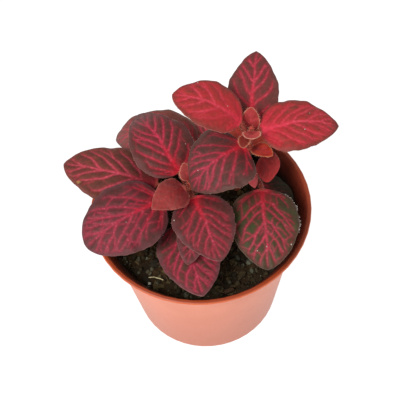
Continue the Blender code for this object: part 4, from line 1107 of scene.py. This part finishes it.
def weathered(node, name, mat, slot, rough, seed, divisions=4, power=4.0):
    """A broken-edged lump that fills the CAD fragment's own box, in that fragment's turn."""
    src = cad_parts[node].data
    pts = np.array([v.co[:] for v in src.vertices]) / MM
    mid = pts.mean(0)
    q = pts - mid
    flat = q[:, :2]
    cov = flat.T @ flat
    values, vectors = np.linalg.eigh(cov)
    ax = np.array([vectors[0, 1], vectors[1, 1], 0.0])
    ay = np.array([-ax[1], ax[0], 0.0])
    az = np.array([0.0, 0.0, 1.0])
    ext = np.array([np.abs(q @ d).max() for d in (ax, ay, az)])
    bv, bf = ball(divisions)
    box = np.sign(bv) * np.abs(bv) ** 0.72
    box /= (np.abs(box) ** power).sum(1)[:, None] ** (1.0 / power)
    la, lb, lc = Lattice(seed), Lattice(seed + 1), Lattice(seed + 2)
    d = 1.0 - rough * (0.5 + 0.5 * la(box[:, 0] * 2.1 + 4, box[:, 1] * 2.1 + box[:, 2] * 1.3 + 9)) - 0.4 * rough * (0.5 + 0.5 * lb(box[:, 0] * 5.3 + 2, box[:, 1] * 5.1 + box[:, 2] * 4.0 + 3))
    d -= 0.2 * rough * (0.5 + 0.5 * lc(box[:, 0] * 11.0 + 2, box[:, 1] * 12.0 + box[:, 2] * 7.0 + 3))
    local = box * d[:, None] * ext
    verts = mid + local[:, :1] * ax + local[:, 1:2] * ay + local[:, 2:3] * az
    obj = mesh_piece(name, verts, bf.tolist(), mat)
    settle(obj, slot, node)


bark_mat, perlite_mat = chip_material(), perlite_material()
build_hairs()
build_pale_specks()
weathered("bark_chip_front", "bark_piece_front", bark_mat, "bark", 0.35, 31)
weathered("bark_chip_left", "bark_piece_left", bark_mat, "bark", 0.35, 37)
weathered("bark_chip_rear", "bark_piece_rear", bark_mat, "bark", 0.35, 41)
weathered("perlite_grain_left", "perlite_piece_left", perlite_mat, "perlite", 0.30, 47, power=2.2)
weathered("perlite_grain_rear", "perlite_piece_rear", perlite_mat, "perlite", 0.30, 53, power=2.2)

straw_pts = []
for i in range(28):
    k = i / 27.0
    x = -23.0 + 5.8 * k
    y = -26.1 - 1.7 * k + 0.45 * math.sin(math.pi * k)
    z = max(soil_height(x, y), soil_height(x, y - 1.0), soil_height(x, y + 1.0)) + GAP + 0.6
    straw_pts.append((x, y, float(z) + 0.05 * math.sin(9.0 * k)))
sv, sf = tube(straw_pts, 0.27 * (0.75 + 0.25 * np.sin(np.linspace(0.3, 2.9, 28))), 14, flat=0.7)
settle(mesh_piece("straw_piece", sv, sf, fibre_material("straw", (196, 178, 130), (222, 208, 164))), "straw", "straw_fragment")


# ------------------------------------------------------------------ pot
def pot_material():
    n = Nodes("pot_clay_red_plastic")
    sep = n.new("ShaderNodeSeparateXYZ")
    n.link(n.place(), sep.inputs[0])
    x, y, z = sep.outputs
    radius = n.math("SQRT", n.math("ADD", n.math("MULTIPLY", x, x), n.math("MULTIPLY", y, y)))
    wall = n.math("MULTIPLY_ADD", z, (BODY_TOP_RADIUS - BODY_FOOT_RADIUS) / FLARE_START)
    wall.node.inputs[2].default_value = (BODY_FOOT_RADIUS - 0.5) * MM
    slope = n.math("MULTIPLY_ADD", z, 0.5185)
    slope.node.inputs[2].default_value = (39.2 - 0.5185 * 59.7) * MM
    outside = n.math("GREATER_THAN", radius, n.math("MAXIMUM", wall, slope))
    cloud = n.noise(16.0, 3.0, 0.5)
    fine = n.noise(0.6, 3.0, 0.55)
    blotches = n.noise(2.6, 4.0, 0.6)
    body = n.mix(n.ramp(cloud, 0.3, 0.7), rgb(217, 126, 94), rgb(223, 133, 102))
    # painted shade: the body darkens towards its foot
    low = n.ramp(z, 0.0, 0.062, 1.0, 0.0)
    body = n.mix(n.math("MULTIPLY", low, 0.8), body, rgb(188, 102, 74))
    # painted shade: the inner wall is dark deep down and lighter towards the lip, where light reaches it
    inner_wall_painted_shading = n.mix(n.ramp(z, 0.0575, 0.0665), rgb(50, 20, 10), rgb(112, 40, 22))
    inner_wall_painted_shading = n.mix(n.ramp(z, 0.0650, 0.0687), inner_wall_painted_shading, rgb(150, 60, 38))
    # the inner wall goes near black just above the soil, in blotches that fade towards the lip
    dark_near_soil_line = n.math("ADD", n.math("MULTIPLY", n.ramp(blotches, 0.46, 0.64, 0.0, 0.6), n.ramp(z, 0.058, 0.067, 1.0, 0.2)), n.ramp(n.math("ADD", z, n.math("MULTIPLY", blotches, 0.004)), 0.0600, 0.0665, 0.9, 0.0))
    inner_wall_painted_shading = n.mix(n.math("MINIMUM", dark_near_soil_line, 0.95), inner_wall_painted_shading, rgb(30, 22, 13))
    colour = n.mix(outside, inner_wall_painted_shading, body)
    # rim top: a darker orange band of its own, with a painted highlight making it lighter towards the outer edge
    lip = n.ramp(z, 0.0676, 0.0679)
    band = n.mix(n.ramp(radius, 0.0444, 0.0450), rgb(154, 58, 20), rgb(212, 100, 50))
    band = n.mix(n.ramp(fine, 0.4, 0.7, 0.0, 0.2), band, rgb(176, 80, 40))
    lip = n.math("MULTIPLY", lip, n.ramp(radius, 0.0431, 0.0434))
    colour = n.mix(lip, colour, band)
    rough = n.ramp(fine, 0.3, 0.7, 0.40, 0.48)
    return n.finish(colour, rough, n.bump(fine, 0.03, 0.35), Specular_IOR_Level=0.5)


def build_pot():
    """The same turned shell as the part, with smooth round walls and its edges eased as moulding leaves them."""
    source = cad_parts["pot"].data
    co = np.empty(len(source.vertices) * 3)
    source.vertices.foreach_get("co", co)
    spots, where = np.unique((co.reshape(-1, 3) / MM).round(4), axis=0, return_inverse=True)
    where = where.ravel()
    faces = [[int(where[i]) for i in f.vertices] for f in source.polygons]
    obj = mesh_piece("pot_shell", spots, [f for f in faces if len(set(f)) == len(f)], pot_material())
    obj.data.set_sharp_from_angle(angle=math.radians(14.0))
    ease = obj.modifiers.new("eased_edges", "BEVEL")
    ease.limit_method = "ANGLE"
    ease.angle_limit = math.radians(14.0)
    ease.width = 0.16 * MM
    ease.segments = 2
    settle(obj, "pot", "pot")
    return obj


pot = build_pot()


# ------------------------------------------------------------------ floor, light
floor_mesh = bpy.data.meshes.new("floor")
floor_mesh.from_pydata([(-3, -3, 0), (3, -3, 0), (3, 3, 0), (-3, 3, 0)], [], [(0, 1, 2, 3)])
floor = bpy.data.objects.new("floor", floor_mesh)
scene.collection.objects.link(floor)
fn = Nodes("floor_white")
fn.bsdf.inputs["Base Color"].default_value = (0.15, 0.15, 0.15, 1.0)
fn.bsdf.inputs["Roughness"].default_value = 0.9
fn.bsdf.inputs["Specular IOR Level"].default_value = 0.0
fn.bsdf.inputs["Emission Color"].default_value = (1.0, 1.0, 1.0, 1.0)
fn.bsdf.inputs["Emission Strength"].default_value = 0.95
floor.data.materials.append(fn.mat)

world = bpy.data.worlds.new("studio")
world.use_nodes = True
world.node_tree.nodes["Background"].inputs["Color"].default_value = (1.0, 1.0, 1.0, 1.0)
world.node_tree.nodes["Background"].inputs["Strength"].default_value = 0.50
scene.world = world


def lamp(name, at, size, power, aim=(0.0, 0.0, 0.06), tint=(1.0, 1.0, 1.0)):
    data = bpy.data.lights.new(name, "AREA")
    data.shape = "SQUARE"
    data.size = size
    data.energy = power
    data.color = tint
    obj = bpy.data.objects.new(name, data)
    obj.location = at
    obj.rotation_euler = (Vector(aim) - Vector(at)).to_track_quat("-Z", "Y").to_euler()
    scene.collection.objects.link(obj)
    return obj


lamp("key_soft_box", (-0.45, -0.45, 0.80), 0.40, 7.5)
lamp("fill_soft_box", (0.6, -0.5, 0.5), 0.6, 1.0)
